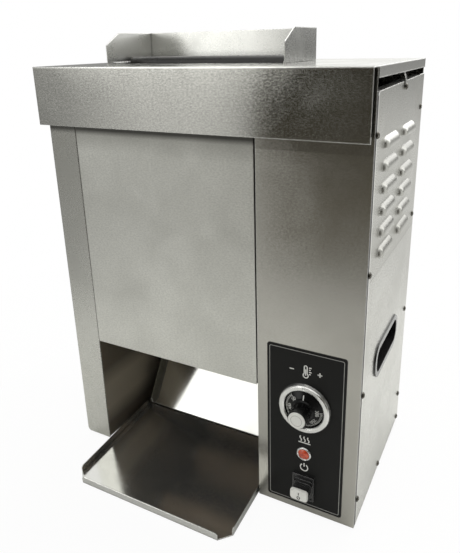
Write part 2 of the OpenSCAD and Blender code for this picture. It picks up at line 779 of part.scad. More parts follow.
// A bent cap with a round top covers the plates' upper edges and parts the two lanes
cap_side = 3;
module platen_cap() {
    r = platen_t / 2 + sheet;
    cap_z = lid_top + cap_rise - r;
    x0 = slot_x0 + cap_side;
    x1 = slot_x1 - cap_side;
    color("gray") in_place() difference() {
        union() {
            x_rod(x0, x1 - x0, platen_y, cap_z, r);
            block([x0, platen_y - r, cap_z - cap_skirt], [x1, platen_y + r, cap_z]);
        }
        x_rod(x0 - 1, x1 - x0 + 2, platen_y, cap_z, r - sheet);
        block([x0 - 1, platen_front, cap_z - cap_skirt - 1], [x1 + 1, platen_rear, cap_z]);
    }
}

// Four bars between the plates' edges carry the platen on the inner walls
module platen_mounts() {
    color("dimgray") in_place() for (z = mount_z) difference() {
        union() {
            block([cook_x0, platen_y - mount_t / 2, z - mount_h / 2],
                  [cook_x0 + mount_l, platen_y + mount_t / 2, z + mount_h / 2]);
            block([cook_x1 - mount_l, platen_y - mount_t / 2, z - mount_h / 2],
                  [cook_x1, platen_y + mount_t / 2, z + mount_h / 2]);
        }
        for (dz = mount_screw_dz) {
            x_rod(cook_x0 - 1, 9, platen_y, z + dz, screw_d / 2 + hole_gap / 2);
            x_rod(cook_x1 - 8, 9, platen_y, z + dz, screw_d / 2 + hole_gap / 2);
        }
    }
}

module platen_screws() {
    color("silver") in_place() for (z = mount_z, dz = mount_screw_dz) {
        translate([cook_x0 - sheet, platen_y, z + dz]) rotate([0, -90, 0]) pan_screw(8);
        translate([cook_x1 + sheet, platen_y, z + dz]) rotate([0, 90, 0]) pan_screw(8);
    }
}

// The element runs up the platen in even passes; both cold ends leave at the right
element_r = element_d / 2;
element_span = mount_z[1] - mount_z[0] - mount_h - element_d - 12;
element_bend_r = element_span / (element_runs - 1) / 2;
element_z0 = (mount_z[0] + mount_z[1] - element_span) / 2;
element_ends = [element_z0, element_z0 + element_span];
element_x0 = cook_x0 + mount_l + 4 + element_bend_r;
element_x1 = cook_x1 - mount_l - 4 - element_bend_r;
element_bush_r = element_r + 3;
element_reach = 16;
module element_bend(x, z, dir) {
    translate([x, platen_y, z]) rotate([90, 0, 0])
        rotate([0, 0, dir > 0 ? -90 : 90]) rotate_extrude(angle = 180, $fn = round_fn)
            translate([element_bend_r, 0]) circle(element_r, $fn = 24);
}
module heating_element() {
    ends_x = cook_x1 + sheet + element_reach;
    color("darkslategray") in_place() {
        for (i = [0 : element_runs - 1]) {
            first = i == 0 || i == element_runs - 1;
            x1 = first ? ends_x : element_x1;
            x_rod(element_x0, x1 - element_x0, platen_y, element_z0 + 2 * element_bend_r * i, element_r);
        }
        for (i = [0 : element_runs - 2])
            element_bend(i % 2 == 0 ? element_x0 : element_x1,
                         element_z0 + element_bend_r * (2 * i + 1), i % 2 == 0 ? -1 : 1);
        // connection studs
        for (z = element_ends) x_rod(ends_x, 9, platen_y, z, 2);
    }
}

element_bush_head = 3;
element_bush_out = 6;
module element_bushes() {
    color("white") in_place() for (z = element_ends) difference() {
        union() {
            x_rod(cook_x1 - element_bush_head, element_bush_head + sheet + element_bush_out, platen_y, z,
                  element_bush_r);
            x_rod(cook_x1 - element_bush_head, element_bush_head, platen_y, z, element_bush_r + 2);
        }
        x_rod(cook_x1 - element_bush_head - 1, element_bush_head + sheet + element_bush_out + 2, platen_y, z,
              element_r + hole_gap);
    }
}

// ---------------------------------------------------------------- conveyors

module shaft(y, z, x1) {
    chamfer = 0.8;
    translate([shaft_x0, y, z]) rotate([0, 90, 0]) rotate_extrude($fn = round_fn) polygon([
        [0, 0], [shaft_d / 2 - chamfer, 0], [shaft_d / 2, chamfer],
        [shaft_d / 2, x1 - shaft_x0 - chamfer], [shaft_d / 2 - chamfer, x1 - shaft_x0], [0, x1 - shaft_x0]]);
}

// A tube with a disc at each end, pressed on its shaft
module roller(y, z) {
    x0 = cook_mid - roller_l / 2;
    disc_t = 6;
    hub_l = (cook_x1 - cook_x0 - roller_l) / 2 - bush_flange_t - 1;
    difference() {
        union() {
            x_rod(x0, roller_l, y, z, roller_r);
            x_rod(x0 - hub_l, roller_l + 2 * hub_l, y, z, shaft_d / 2 + 3);
        }
        x_rod(x0 + disc_t, roller_l - 2 * disc_t, y, z, roller_r - roller_wall);
        x_rod(x0 - hub_l - 1, roller_l + 2 * hub_l + 2, y, z, shaft_d / 2 + press_gap);
    }
}

// Outline of a belt that runs round both rollers, with ribs all round its outside
module belt_loop(r) {
    square([2 * r, idler_z - drive_z], center = true);
    for (s = [-1, 1]) translate([0, s * (idler_z - drive_z) / 2]) circle(r, $fn = 96);
}
rib_w = 3;
module belt_outline() {
    half = (idler_z - drive_z) / 2;
    inner = roller_r + seat_gap;
    outer = inner + belt_t;
    side_ribs = floor(2 * half / rib_pitch);
    end_ribs = max(3, round(PI * outer / rib_pitch));
    difference() {
        union() {
            belt_loop(outer);
            for (i = [0 : side_ribs - 1], s = [-1, 1])
                translate([s * (outer + rib_h / 2 - 0.2), -half + (i + 0.5) * 2 * half / side_ribs])
                    square([rib_h + 0.4, rib_w], center = true);
            for (i = [0 : end_ribs - 1], s = [-1, 1])
                translate([0, s * half]) rotate((i + 0.5) * 180 / end_ribs + (s < 0 ? 180 : 0))
                    translate([outer + rib_h / 2 - 0.2, 0]) square([rib_h + 0.4, rib_w], center = true);
        }
        belt_loop(inner);
    }
}
module belt(y) {
    side_sheet(cook_mid - belt_w / 2, belt_w) translate([y, (idler_z + drive_z) / 2]) belt_outline();
}

drive_shaft_x1 = gear_x + gear_w + 3;
top_shaft_x1 = cook_x1 + bush_l + 3;
module front_drive_shaft() { color("silver") in_place() shaft(front_y, drive_z, drive_shaft_x1); }
module rear_drive_shaft() { color("silver") in_place() shaft(rear_y, drive_z, drive_shaft_x1); }
module front_top_shaft() { color("silver") in_place() shaft(front_y, idler_z, top_shaft_x1); }
module rear_top_shaft() { color("silver") in_place() shaft(rear_y, idler_z, top_shaft_x1); }
module front_drive_roller() { color("gray") in_place() roller(front_y, drive_z); }
module rear_drive_roller() { color("gray") in_place() roller(rear_y, drive_z); }
module front_top_roller() { color("gray") in_place() roller(front_y, idler_z); }
module rear_top_roller() { color("gray") in_place() roller(rear_y, idler_z); }
module front_belt() { color("dimgray") in_place() belt(front_y); }
module rear_belt() { color("dimgray") in_place() belt(rear_y); }

// Flanged bushes in both inner walls
module bush() {
    rotate([0, 90, 0]) difference() {
        union() {
            cylinder(h = bush_l, r = bush_r, $fn = round_fn);
            translate([0, 0, -bush_flange_t]) cylinder(h = bush_flange_t, r = bush_r + 2.5, $fn = round_fn);
        }
        translate([0, 0, -bush_flange_t - 1])
            cylinder(h = bush_l + bush_flange_t + 2, r = shaft_d / 2 + run_gap, $fn = round_fn);
    }
}
module shaft_bushes() {
    color("goldenrod") in_place() for (y = [front_y, rear_y], z = [drive_z, idler_z]) {
        translate([cook_x0, y, z]) mirror([1, 0, 0]) bush();
        translate([cook_x1, y, z]) bush();
    }
}

// ---------------------------------------------------------------- drive

backlash = 0.14;
pressure = 20;
gear_root_r = pitch_r - 1.25 * gear_module;
involute_r = pitch_r * cos(pressure);
function involute_angle(r) = sqrt(max(0, pow(r / involute_r, 2) - 1)) * 180 / PI
    - acos(min(1, involute_r / r));
half_tooth = 90 / gear_teeth - backlash / (2 * pitch_r) * 180 / PI;
function flank_angle(r) = half_tooth + involute_angle(pitch_r) - involute_angle(max(r, involute_r));
flank_steps = 4;
function flank_r(i) = let (low = max(gear_root_r, involute_r))
    low + (gear_tip_r - low) * i / flank_steps;
function polar(r, a) = [r * cos(a), r * sin(a)];

// Outline of a gear with one tooth centred on the X axis
module gear_outline() {
    root_half = flank_angle(flank_r(0));
    polygon([
        for (k = [0 : gear_teeth - 1]) let (a = k * 360 / gear_teeth)
            each concat(
                [polar(gear_root_r, a - root_half)],
                [for (i = [0 : flank_steps]) polar(flank_r(i), a - flank_angle(flank_r(i)))],
                [for (i = [flank_steps : -1 : 0]) polar(flank_r(i), a + flank_angle(flank_r(i)))],
                [polar(gear_root_r, a + root_half)])
    ]);
}

// Angle of the next gear's tooth, so that it meshes with a gear whose tooth is at angle a;
// the centres lie in direction d. All gears of the train have the same teeth.
function mesh_angle(a, d) = d + 180 - (a - d) + 180 / gear_teeth;
dir_1 = atan2(-train_drop, idler_y - front_y);
dir_2 = 0;
dir_3 = -dir_1;
angle_1 = 0;
angle_2 = mesh_angle(angle_1, dir_1);
angle_3 = mesh_angle(angle_2, dir_2);
angle_4 = mesh_angle(angle_3, dir_3);

hub_r = 10;
module gear(y, z, a, bore_r) {
    web_r = gear_root_r - 4;
    translate([gear_x, y, z]) rotate([90, 0, 90]) difference() {
        rotate(a) linear_extrude(gear_w) gear_outline();
        translate([0, 0, -1]) cylinder(h = gear_w + 2, r = bore_r, $fn = round_fn);
        // recess round the hub, and lightening holes in the web
        translate([0, 0, gear_w - 2.5]) difference() {
            cylinder(h = 4, r = web_r, $fn = round_fn);
            translate([0, 0, -1]) cylinder(h = 6, r = hub_r, $fn = round_fn);
        }
        for (k = [0 : 4]) rotate(a + k * 72) translate([(web_r + hub_r) / 2, 0, -1])
            cylinder(h = gear_w + 2, r = (web_r - hub_r) / 2 - 0.8, $fn = round_fn);
    }
}
drive_bore_r = shaft_d / 2 + press_gap;
module front_drive_gear() { color("slategray") in_place() gear(front_y, drive_z, angle_1, drive_bore_r); }
module idler_gear() { color("slategray") in_place() gear(idler_y, train_z, angle_2, stud_r + run_gap); }
module rear_drive_gear() { color("slategray") in_place() gear(rear_y, drive_z, angle_4, drive_bore_r); }

// The motor gear is fixed on the gearbox's output shaft
motor_r = motor_shaft_d / 2;
module motor_gear() {
    color("slategray") in_place() union() {
        gear(motor_y, train_z, angle_3, motor_r - 1);
        x_rod(gear_x - 1, bracket_x + sheet * 2 + gearbox_d / 2 - gear_x, motor_y, train_z, motor_r);
    }
}

stud_r = 4;
module idler_stud() {
    color("silver") in_place() union() {
        x_rod(cook_x1, gear_x + gear_w + 2.5 - cook_x1, idler_y, train_z, stud_r);
        x_rod(cook_x1 + sheet, gear_x - cook_x1 - sheet - seat_gap, idler_y, train_z, stud_r + 3);
        x_rod(gear_x + gear_w + seat_gap, 1.5, idler_y, train_z, stud_r + 2);
    }
}

// Three pillars hold the motor's bracket off the wall, clear of the gears
pillar_r = 5;
pillar_stud_r = 2.5;
pillar_margin = 10;
pillar_places = [
    [idler_y - 6, train_z - gear_tip_r - pillar_margin],
    [motor_y + gear_tip_r - 4, train_z - gear_tip_r - pillar_margin],
    [platen_y - pillar_r - screw_head_d, train_z + gear_tip_r + pillar_margin]
];
module motor_pillars() {
    x0 = cook_x1 + sheet;
    color("silver") in_place() for (p = pillar_places) union() {
        x_rod(x0, bracket_x - x0, p[0], p[1], pillar_r);
        x_rod(x0 - sheet, sheet + 1, p[0], p[1], pillar_stud_r);
        x_rod(bracket_x - 1, 2 * sheet + 3, p[0], p[1], pillar_stud_r);
    }
}

bracket_t = 2 * sheet;
module motor_bracket() {
    y0 = pillar_places[0][0] - pillar_margin;
    y1 = pillar_places[1][0] + pillar_margin;
    z0 = pillar_places[0][1] - pillar_margin;
    z1 = pillar_places[2][1] + pillar_margin;
    color("silver") in_place() difference() {
        side_sheet(bracket_x, bracket_t)
            translate([(y0 + y1) / 2, (z0 + z1) / 2]) round_rect(y1 - y0, z1 - z0, 8);
        for (p = pillar_places) x_rod(bracket_x - 1, bracket_t + 2, p[0], p[1], pillar_stud_r + hole_gap);
        x_rod(bracket_x - 1, bracket_t + 2, motor_y, train_z, motor_r + 2);
    }
}

module gear_motor() {
    x0 = bracket_x + bracket_t;
    color("dimgray") in_place() difference() {
        union() {
            side_sheet(x0, gearbox_d) translate([motor_y, train_z]) round_rect(gearbox_w, gearbox_w, 6);
            x_rod(x0 + gearbox_d, motor_l - 4, motor_y, train_z, motor_d / 2);
            x_rod(x0 + gearbox_d, motor_l, motor_y, train_z, motor_d / 2 - 6);
            // ribs along the motor
            for (a = [0 : 30 : 330]) translate([x0 + gearbox_d, motor_y, train_z]) rotate([a, 0, 0])
                block([0, motor_d / 2 - 3, -1], [motor_l - 8, motor_d / 2 + 1, 1]);
        }
        x_rod(x0 - 1, gearbox_d / 2 + 3, motor_y, train_z, motor_r + run_gap);
    }
}

// ---------------------------------------------------------------- chute and tray

// The chute's sheet climbs from its lower edge to the rear panel, between two gussets
chute_foot_z = tray_top_at(chute_y) + 1.5;
function tray_top_at(y) = (y + tray_out) * tan(tray_slope) + sheet / cos(tray_slope);
chute_l = (body_d - sheet - seat_gap - chute_y - sheet * sin(chute_angle)) / cos(chute_angle);
chute_x0 = cook_mid - chute_w / 2;
chute_x1 = cook_mid + chute_w / 2;
function up_chute(s, n) = [
    chute_y + s * cos(chute_angle) - n * sin(chute_angle),
    chute_foot_z + s * sin(chute_angle) + n * cos(chute_angle)];

// A gusset stands on the base plate behind the tray, and carries the chute's flange
gusset_gap = 5;
module chute_gusset() {
    y0 = max(chute_y + 3, tray_rear_y + gusset_gap);
    polygon([
        up_chute(0, 0), up_chute(0, 3), up_chute(8, chute_flange), up_chute(chute_l - 20, chute_flange),
        up_chute(chute_l - 14, 0), [body_d - 60, base_top], [y0, base_top], [y0, chute_foot_z]]);
}
module chute() {
    foot_y0 = tray_rear_y + gusset_gap + 4;
    color("gainsboro") in_place() {
        translate([chute_x0, chute_y, chute_foot_z]) rotate([chute_angle, 0, 0])
            translate([0, 0, -sheet]) cube([chute_w, chute_l, sheet]);
        for (x = [chute_x0, chute_x1 - sheet]) side_sheet(x, sheet) chute_gusset();
        // feet on the base plate
        block([chute_x0, foot_y0, base_top], [chute_x0 + 14, body_d - 62, base_top + sheet]);
        block([chute_x1 - 14, foot_y0, base_top], [chute_x1, body_d - 62, base_top + sheet]);
    }
}

// The tray's front edge lies on the table and its floor on the edge of the base plate
tray_x0 = cook_x0 + tray_left;
tray_x1 = control_x0 - tray_gap;
tray_rear_y = -tray_out + tray_l * cos(tray_slope);
module bun_tray() {
    w = tray_x1 - tray_x0;
    lift = seat_gap / 2;
    color("lightgray") in_place() translate([tray_x0, -tray_out, lift]) rotate([tray_slope, 0, 0]) {
        linear_extrude(sheet) polygon([
            [tray_cut, 0], [w - tray_cut, 0], [w, tray_cut], [w, tray_l], [0, tray_l], [0, tray_cut]]);
        // front lip with rounded upper corners, then the side lips
        front_sheet(0, sheet) tray_lip(tray_cut, w - tray_cut, 4, 4);
        for (x = [0, w - sheet]) side_sheet(x, sheet) tray_lip(tray_cut, tray_l, 4, 1.5);
    }
}
module tray_lip(a, b, r0, r1) {
    square_a = a + r0;
    square_b = b - r1;
    translate([square_a, 0]) square([square_b - square_a, lip_h]);
    translate([a, 0]) square([r0, lip_h - r0]);
    translate([square_b, 0]) square([r1, lip_h - r1]);
    translate([square_a, lip_h - r0]) circle(r0, $fn = round_fn);
    translate([square_b, lip_h - r1]) circle(r1, $fn = round_fn);
}

// ---------------------------------------------------------------- handles

// Moulded cup handle; side is -1 at the left and 1 at the right
module handle(side) {
    x = side < 0 ? 0 : body_w;
    translate([x, handle_y, under_z + handle_z]) rotate([90, 0, side < 0 ? -90 : 90]) difference() {
        union() {
            linear_extrude(handle_rim_t) handle_outline(0);
            translate([0, 0, handle_rim_t - handle_depth]) linear_extrude(handle_depth)
                handle_outline(handle_land);
        }
        translate([0, 0, handle_rim_t - handle_depth + handle_wall]) linear_extrude(handle_depth)
            handle_outline(handle_land + handle_wall);
    }
}
module right_handle() { color("black") in_place() handle(1); }
module left_handle() { color("black") in_place() handle(-1); }

// ---------------------------------------------------------------- controls

// Puts its children on the front face at a control's height, with +Z out towards the user
module on_front(z) { translate([axis_x, 0, under_z + z]) rotate([90, 0, 0]) children(); }

label_r = 3.5;
label_mid = plate_label_z + plate_label_h / 2;
thermostat_neck_r = 5;
lamp_body_r = lamp_d / 2 - 4;
module control_plate() {
    color("black") in_place() difference() {
        on_front(label_mid) linear_extrude(label_t) round_rect(plate_label_w, plate_label_h, label_r);
        y_rod(axis_x, -2, 4, under_z + dial_z, thermostat_neck_r + hole_gap);
        y_rod(axis_x, -2, 4, under_z + lamp_z, lamp_body_r + hole_gap);
        on_front(switch_z) translate([0, 0, -1]) linear_extrude(label_t + 2)
            square([switch_body_w + 2 * hole_gap, switch_body_h + 2 * hole_gap], center = true);
    }
}

module dial_ring() {
    color("gainsboro") in_place() on_front(dial_z) translate([0, 0, label_t]) difference() {
        rotate_extrude($fn = 96) polygon([
            [ring_in_r, 0], [ring_r, 0], [ring_r, 2], [ring_r - 1.4, dial_out - 1.2],
            [ring_r - 2.6, dial_out], [ring_in_r + 1.2, dial_out], [ring_in_r, dial_out - 1.4]]);
        // index dimple at the top
        translate([0, ring_in_r + dial_rim / 2, dial_out + 0.6]) sphere(1.6, $fn = 24);
    }
}

// The thermostat hangs on the front panel by its neck
thermostat_r = 18;
thermostat_y = 15;
thermostat_d = 24;
module thermostat() {
    color("burlywood") in_place() difference() {
        union() {
            y_rod(axis_x, sheet, thermostat_y - sheet, under_z + dial_z, thermostat_neck_r + 3);
            y_rod(axis_x, -label_t, thermostat_y, under_z + dial_z, thermostat_neck_r);
            y_rod(axis_x, thermostat_y, thermostat_d, under_z + dial_z, thermostat_r);
            // terminals
            for (x = [-8, 8]) block([axis_x + x - 3, thermostat_y + thermostat_d, under_z + dial_z - 8],
                                    [axis_x + x + 3, thermostat_y + thermostat_d + 8, under_z + dial_z - 7]);
        }
        y_rod(axis_x, -2, thermostat_y + spindle_in + 6, under_z + dial_z, stem_r + run_gap);
    }
}

// Knob: a skirt that carries the scale, a grip with two flats, and the spindle in its middle
skirt_z = label_t + 1.2;
skirt_h = 6;
spindle_in = 6;
skirt_r = ring_in_r - skirt_gap;
cap_h = 1.6;
cap_r = grip_d / 2 - 1.5;
module temperature_knob() {
    grip_r = grip_d / 2;
    grip_z1 = knob_out - cap_h;
    color("black") in_place() on_front(dial_z) {
        difference() {
            rotate_extrude($fn = 96) polygon([
                [0, skirt_z], [skirt_r, skirt_z], [skirt_r, skirt_z + 2], [skirt_r - 9, skirt_z + skirt_h],
                [grip_r + 1.5, skirt_z + skirt_h], [grip_r, skirt_z + skirt_h + 1.5],
                [grip_r, grip_z1 - 1], [grip_r - 1, grip_z1], [0, grip_z1]]);
            // finger flats at both sides of the grip
            for (s = [-1, 1]) translate([s * (grip_r + 1.5), 0, skirt_z + skirt_h + 9])
                cube([6.5, 2 * grip_r, 14], center = true);
        }
        translate([0, 0, -thermostat_y - spindle_in])
            cylinder(h = thermostat_y + spindle_in + skirt_z + 1, r = stem_r, $fn = round_fn);
    }
}

module knob_cap() {
    color("white") in_place() on_front(dial_z) translate([0, 0, knob_out - cap_h]) rotate_extrude($fn = 64)
        polygon([[0, 0], [cap_r, 0], [cap_r, cap_h - 0.6], [cap_r - 0.6, cap_h], [0, cap_h]]);
}

lamp_ring_h = 3;
lens_r = lamp_d / 2 - 2.6;
module lamp_ring() {
    color("gainsboro") in_place() on_front(lamp_z) translate([0, 0, label_t]) rotate_extrude($fn = 64)
        polygon([
            [lens_r + press_gap, 0], [lamp_d / 2, 0], [lamp_d / 2, lamp_ring_h - 1],
            [lamp_d / 2 - 1, lamp_ring_h], [lens_r + 0.6, lamp_ring_h],
            [lens_r + press_gap, lamp_ring_h - 0.6]]);
}
module lamp_lens() {
    dome_r = 12;
    color("orangered") in_place() on_front(lamp_z) translate([0, 0, label_t]) intersection() {
        cylinder(h = lamp_ring_h + 3, r = lens_r, $fn = 64);
        translate([0, 0, lamp_ring_h + 2 - dome_r]) sphere(dome_r, $fn = 64);
    }
}
module lamp_body() {
    color("dimgray") in_place() union() {
        y_rod(axis_x, -label_t, 24, under_z + lamp_z, lamp_body_r);
        y_rod(axis_x, sheet, 4, under_z + lamp_z, lamp_body_r + 2.5);
        // two tabs for the leads
        for (x = [-3, 3])
            block([axis_x + x - 0.4, 20, under_z + lamp_z - 2], [axis_x + x + 0.4, 31, under_z + lamp_z + 2]);
    }
}

// Switch: a frame with a raised collar round the button's well, and its body behind the panel
frame_h = 3;
collar_h = 7;
collar_w = button_w + 3;
collar_l = button_h + 6;
well_gap = 0.25;
switch_depth = 30;
well_depth = 12;
button_cap_t = 4;
module switch_housing() {
    color("black") in_place() on_front(switch_z) difference() {
        union() {
            translate([0, 0, label_t]) linear_extrude(frame_h) round_rect(switch_w, switch_h, 1.5);
            translate([0, 0, -switch_depth]) linear_extrude(switch_depth + label_t + 1)
                square([switch_body_w, switch_body_h], center = true);
            translate([0, 0, label_t]) linear_extrude(collar_h) round_rect(collar_w, collar_l, 5);
            for (x = [-7, 7]) translate([x - 3, -0.4, -switch_depth - 8]) cube([6, 0.8, 9]);
        }
        // shallow step in the frame, round the collar
        translate([0, 0, label_t + frame_h - 1.2]) difference() {
            linear_extrude(4) round_rect(switch_w - 4, switch_h - 4, 1);
            translate([0, 0, -1]) linear_extrude(6) round_rect(collar_w, collar_l, 5);
        }
        translate([0, 0, -well_depth]) linear_extrude(40)
            round_rect(button_w - 2 + 2 * well_gap, button_h - 2 + 2 * well_gap, button_r - 1 + well_gap);
    }
}
module switch_button() {
    stem_z = -well_depth + button_travel + 1;
    color("black") in_place() on_front(switch_z) translate([0, 0, stem_z])
        linear_extrude(button_out - button_cap_t - stem_z) round_rect(button_w - 2, button_h - 2, button_r - 1);
}
module button_cap() {
    color("white") in_place() on_front(switch_z) translate([0, 0, button_out - button_cap_t]) union() {
        linear_extrude(button_cap_t - 1) round_rect(button_w, button_h, button_r);
        linear_extrude(button_cap_t) round_rect(button_w - 2, button_h - 2, button_r - 1);
    }
}

module terminal_block() {
    y0 = body_d - 62;
    x0 = cook_x1 + 26;
    pitch = 10;
    color("beige") in_place() difference() {
        union() {
            block([x0, y0, base_top], [x0 + 5 * pitch, y0 + 22, base_top + 8]);
            block([x0, y0 + 4, base_top], [x0 + 5 * pitch, y0 + 18, base_top + 15]);
        }
        for (i = [0 : 4]) z_rod(x0 + (i + 0.5) * pitch, y0 + 11, base_top + 5, 20, 2.6);
    }
}

// Gland: hexagon and dome outside the rear panel, thread and nut inside
module cable_gland() {
    hex_r = gland_thread_r + 4;
    color("black") in_place() translate([gland_x, body_d, gland_z]) rotate([-90, 0, 0]) difference() {
        union() {
            cylinder(h = 6, r = hex_r, $fn = 6);
            translate([0, 0, 6]) cylinder(h = gland_out - 9, r = hex_r - 1.5, $fn = round_fn);
            translate([0, 0, gland_out - 3]) cylinder(h = 3, r1 = hex_r - 1.5, r2 = hex_r - 4, $fn = round_fn);
            translate([0, 0, -sheet - 9]) cylinder(h = sheet + 9, r = gland_thread_r, $fn = round_fn);
            translate([0, 0, -sheet - 5]) cylinder(h = 5, r = hex_r, $fn = 6);
        }
        translate([0, 0, -sheet - 10]) cylinder(h = gland_out + sheet + 12, d = gland_bore, $fn = round_fn);
    }
}

base_plate();
rubber_feet();
foot_screws();
left_side_panel();
left_inner_wall();
control_inner_wall();
control_front_panel();
right_side_panel();
rear_panel();
top_cover();
lid_strap();
casing_screws();
front_rail();
front_cover();
bun_feeder();
platen_cap();
front_platen_plate();
rear_platen_plate();
platen_mounts();
platen_screws();
heating_element();
element_bushes();
front_drive_shaft();
front_drive_roller();
front_drive_gear();
front_top_shaft();
front_top_roller();
front_belt();
rear_drive_shaft();
rear_drive_roller();
rear_drive_gear();
rear_top_shaft();
rear_top_roller();
rear_belt();
shaft_bushes();
idler_stud();
idler_gear();
motor_gear();
gear_motor();
motor_bracket();
motor_pillars();
chute();
bun_tray();
right_handle();
left_handle();
control_plate();
dial_ring();
thermostat();
temperature_knob();
knob_cap();
lamp_body();
lamp_ring();
lamp_lens();
switch_housing();
switch_button();
button_cap();
terminal_block();
cable_gland();
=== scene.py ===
import math

import bmesh
import bpy
from mathutils import Matrix, Vector


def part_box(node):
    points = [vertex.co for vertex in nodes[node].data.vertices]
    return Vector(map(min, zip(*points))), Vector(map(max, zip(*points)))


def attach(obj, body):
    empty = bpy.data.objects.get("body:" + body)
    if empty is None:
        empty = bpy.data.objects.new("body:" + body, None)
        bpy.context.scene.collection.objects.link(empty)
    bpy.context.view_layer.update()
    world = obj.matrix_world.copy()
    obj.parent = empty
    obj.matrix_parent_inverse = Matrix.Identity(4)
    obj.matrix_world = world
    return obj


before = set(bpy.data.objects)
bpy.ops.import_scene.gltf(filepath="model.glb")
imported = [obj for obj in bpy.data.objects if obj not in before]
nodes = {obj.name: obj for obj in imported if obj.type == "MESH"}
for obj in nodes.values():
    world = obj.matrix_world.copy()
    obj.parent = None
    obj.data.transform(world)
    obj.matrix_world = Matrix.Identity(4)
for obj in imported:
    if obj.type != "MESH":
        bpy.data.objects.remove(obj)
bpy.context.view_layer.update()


# ------------------------------------------------------------------ studio
# A plain white room with a pale table. The camera stands a little right of the toaster and above
# it. A window, a softbox and a skylight are at the front left, a dark corner lies ahead and right,
# and two broad lamps hang overhead and behind.

def add(tree, kind, inputs=None, **settings):
    """One shader node. Inputs take a value or another node's output."""
    node = tree.nodes.new("ShaderNode" + kind)
    for name, value in settings.items():
        setattr(node, name, value)
    for name, value in (inputs or {}).items():
        if isinstance(value, bpy.types.NodeSocket):
            tree.links.new(value, node.inputs[name])
        else:
            node.inputs[name].default_value = value
    return node


camera_place = Vector((0.361745, -0.651956, 0.608103))
camera_yaw, camera_pitch, camera_roll = -0.481713, -0.318472, -0.021211
forward = Vector((math.sin(camera_yaw) * math.cos(camera_pitch),
                  math.cos(camera_yaw) * math.cos(camera_pitch), math.sin(camera_pitch)))
sideways = Vector((math.cos(camera_yaw), -math.sin(camera_yaw), 0))
upright = sideways.cross(forward)
right = sideways * math.cos(camera_roll) + upright * math.sin(camera_roll)
up = upright * math.cos(camera_roll) - sideways * math.sin(camera_roll)
camera = bpy.data.objects.new("camera", bpy.data.cameras.new("camera"))
camera.data.lens = 35.937
camera.data.sensor_width = 36
camera.data.shift_x = -0.0224
camera.data.shift_y = -0.0900
camera.data.clip_start = 0.01
camera_turn = Matrix((right, up, -forward)).transposed().to_4x4()
camera.matrix_world = Matrix.Translation(camera_place) @ camera_turn
bpy.context.scene.collection.objects.link(camera)
bpy.context.scene.camera = camera
bpy.context.scene.view_settings.view_transform = "Standard"

world = bpy.data.worlds.new("room")
bpy.context.scene.world = world
world.use_nodes = True
tree = world.node_tree
tree.nodes.clear()
sight = add(tree, "LightPath")
direction = add(tree, "TexCoord")
parts = add(tree, "SeparateXYZ", {"Vector": direction.outputs["Generated"]})
behind = add(tree, "Math", {0: parts.outputs["X"], 1: -1.0}, operation="MULTIPLY")
ahead = add(tree, "Math", {0: parts.outputs["Y"], 1: -1.0}, operation="MULTIPLY")
turn = add(tree, "Math", {0: behind.outputs[0], 1: ahead.outputs[0]}, operation="ARCTAN2")
height = add(tree, "Math", {0: parts.outputs["Z"]}, operation="ARCSINE")


def ramp(source, start, end, low, high):
    """A soft step: low where the source is below start, high above end."""
    return add(tree, "MapRange", {"Value": source.outputs[0], "From Min": start, "From Max": end,
                                  "To Min": low, "To Max": high}, interpolation_type="SMOOTHSTEP")


def times(a, b):
    """Product of two node outputs."""
    return add(tree, "Math", {0: a.outputs[0], 1: b.outputs[0]}, operation="MULTIPLY")


def lay(below, mask, level):
    """A level laid over what is below, where the mask is 1."""
    return add(tree, "Mix", {"Factor": mask.outputs[0], "A": below.outputs[0],
                             "B": level if isinstance(level, float) else level.outputs[0]}, data_type="FLOAT")


def field(turns, heights):
    """Mask of a soft-edged field of the room. Each range is where it fades in and where it fades out."""
    left_in, left_full, right_full, right_out = turns
    low_in, low_full, high_full, high_out = heights
    return times(times(ramp(turn, left_in, left_full, 0.0, 1.0), ramp(turn, right_full, right_out, 1.0, 0.0)),
                 times(ramp(height, low_in, low_full, 0.0, 1.0), ramp(height, high_full, high_out, 1.0, 0.0)))


# angles in radians: turn is 0 straight ahead of the toaster and grows to its left
rear = add(tree, "Math", {0: turn.outputs[0]}, operation="ABSOLUTE")
left_wall = times(times(ramp(turn, 0.58, 0.88, 0.90, 0.36), ramp(height, -0.35, -0.1, 0.98, 1.0)),
                  ramp(height, 0.1, 0.9, 1.0, 1.3))
uneven = add(tree, "CombineXYZ", {"X": turn.outputs[0]})
stripes = add(tree, "TexNoise", {"Vector": uneven.outputs[0], "Scale": 13.0, "Detail": 2.0})
patchy = add(tree, "MapRange", {"Value": stripes.outputs["Fac"], "From Min": 0.3, "From Max": 0.7,
                                "To Min": 0.84, "To Max": 1.14})
left_wall = times(left_wall, patchy)
back_wall = add(tree, "Math", {0: ramp(height, -0.2, 0.0, 0.85, 0.30).outputs[0],
                               1: ramp(height, 0.2, 0.5, 0.0, 1.35).outputs[0]}, operation="MAXIMUM")
dark_corner = times(times(ramp(turn, 0.435, 0.50, 1.0, 0.0), ramp(turn, -1.7, -1.25, 0.0, 1.0)),
                    times(ramp(height, 0.5, 0.8, 1.0, 0.0), ramp(height, -0.95, -0.04, 0.2, 1.0)))
window = field((0.385, 0.44, 0.72, 0.84), (-0.025, 0.015, 0.5, 0.7))
far_left = times(ramp(turn, 2.55, 2.75, 0.0, 1.0),
                 times(ramp(height, -0.1, 0.0, 0.0, 1.0), ramp(height, 0.5, 0.8, 1.0, 0.0)))
softbox = field((0.29, 0.32, 0.535, 0.57), (0.37, 0.40, 0.58, 0.62))
skylight = field((0.62, 0.70, 1.05, 1.2), (0.68, 0.76, 0.98, 1.1))
doorway = field((-0.9, -0.8, -0.5, -0.4), (-0.06, 0.0, 0.12, 0.2))
right_high = times(ramp(turn, -1.5, -1.2, 1.0, 0.0), ramp(height, 0.15, 0.4, 0.0, 1.0))
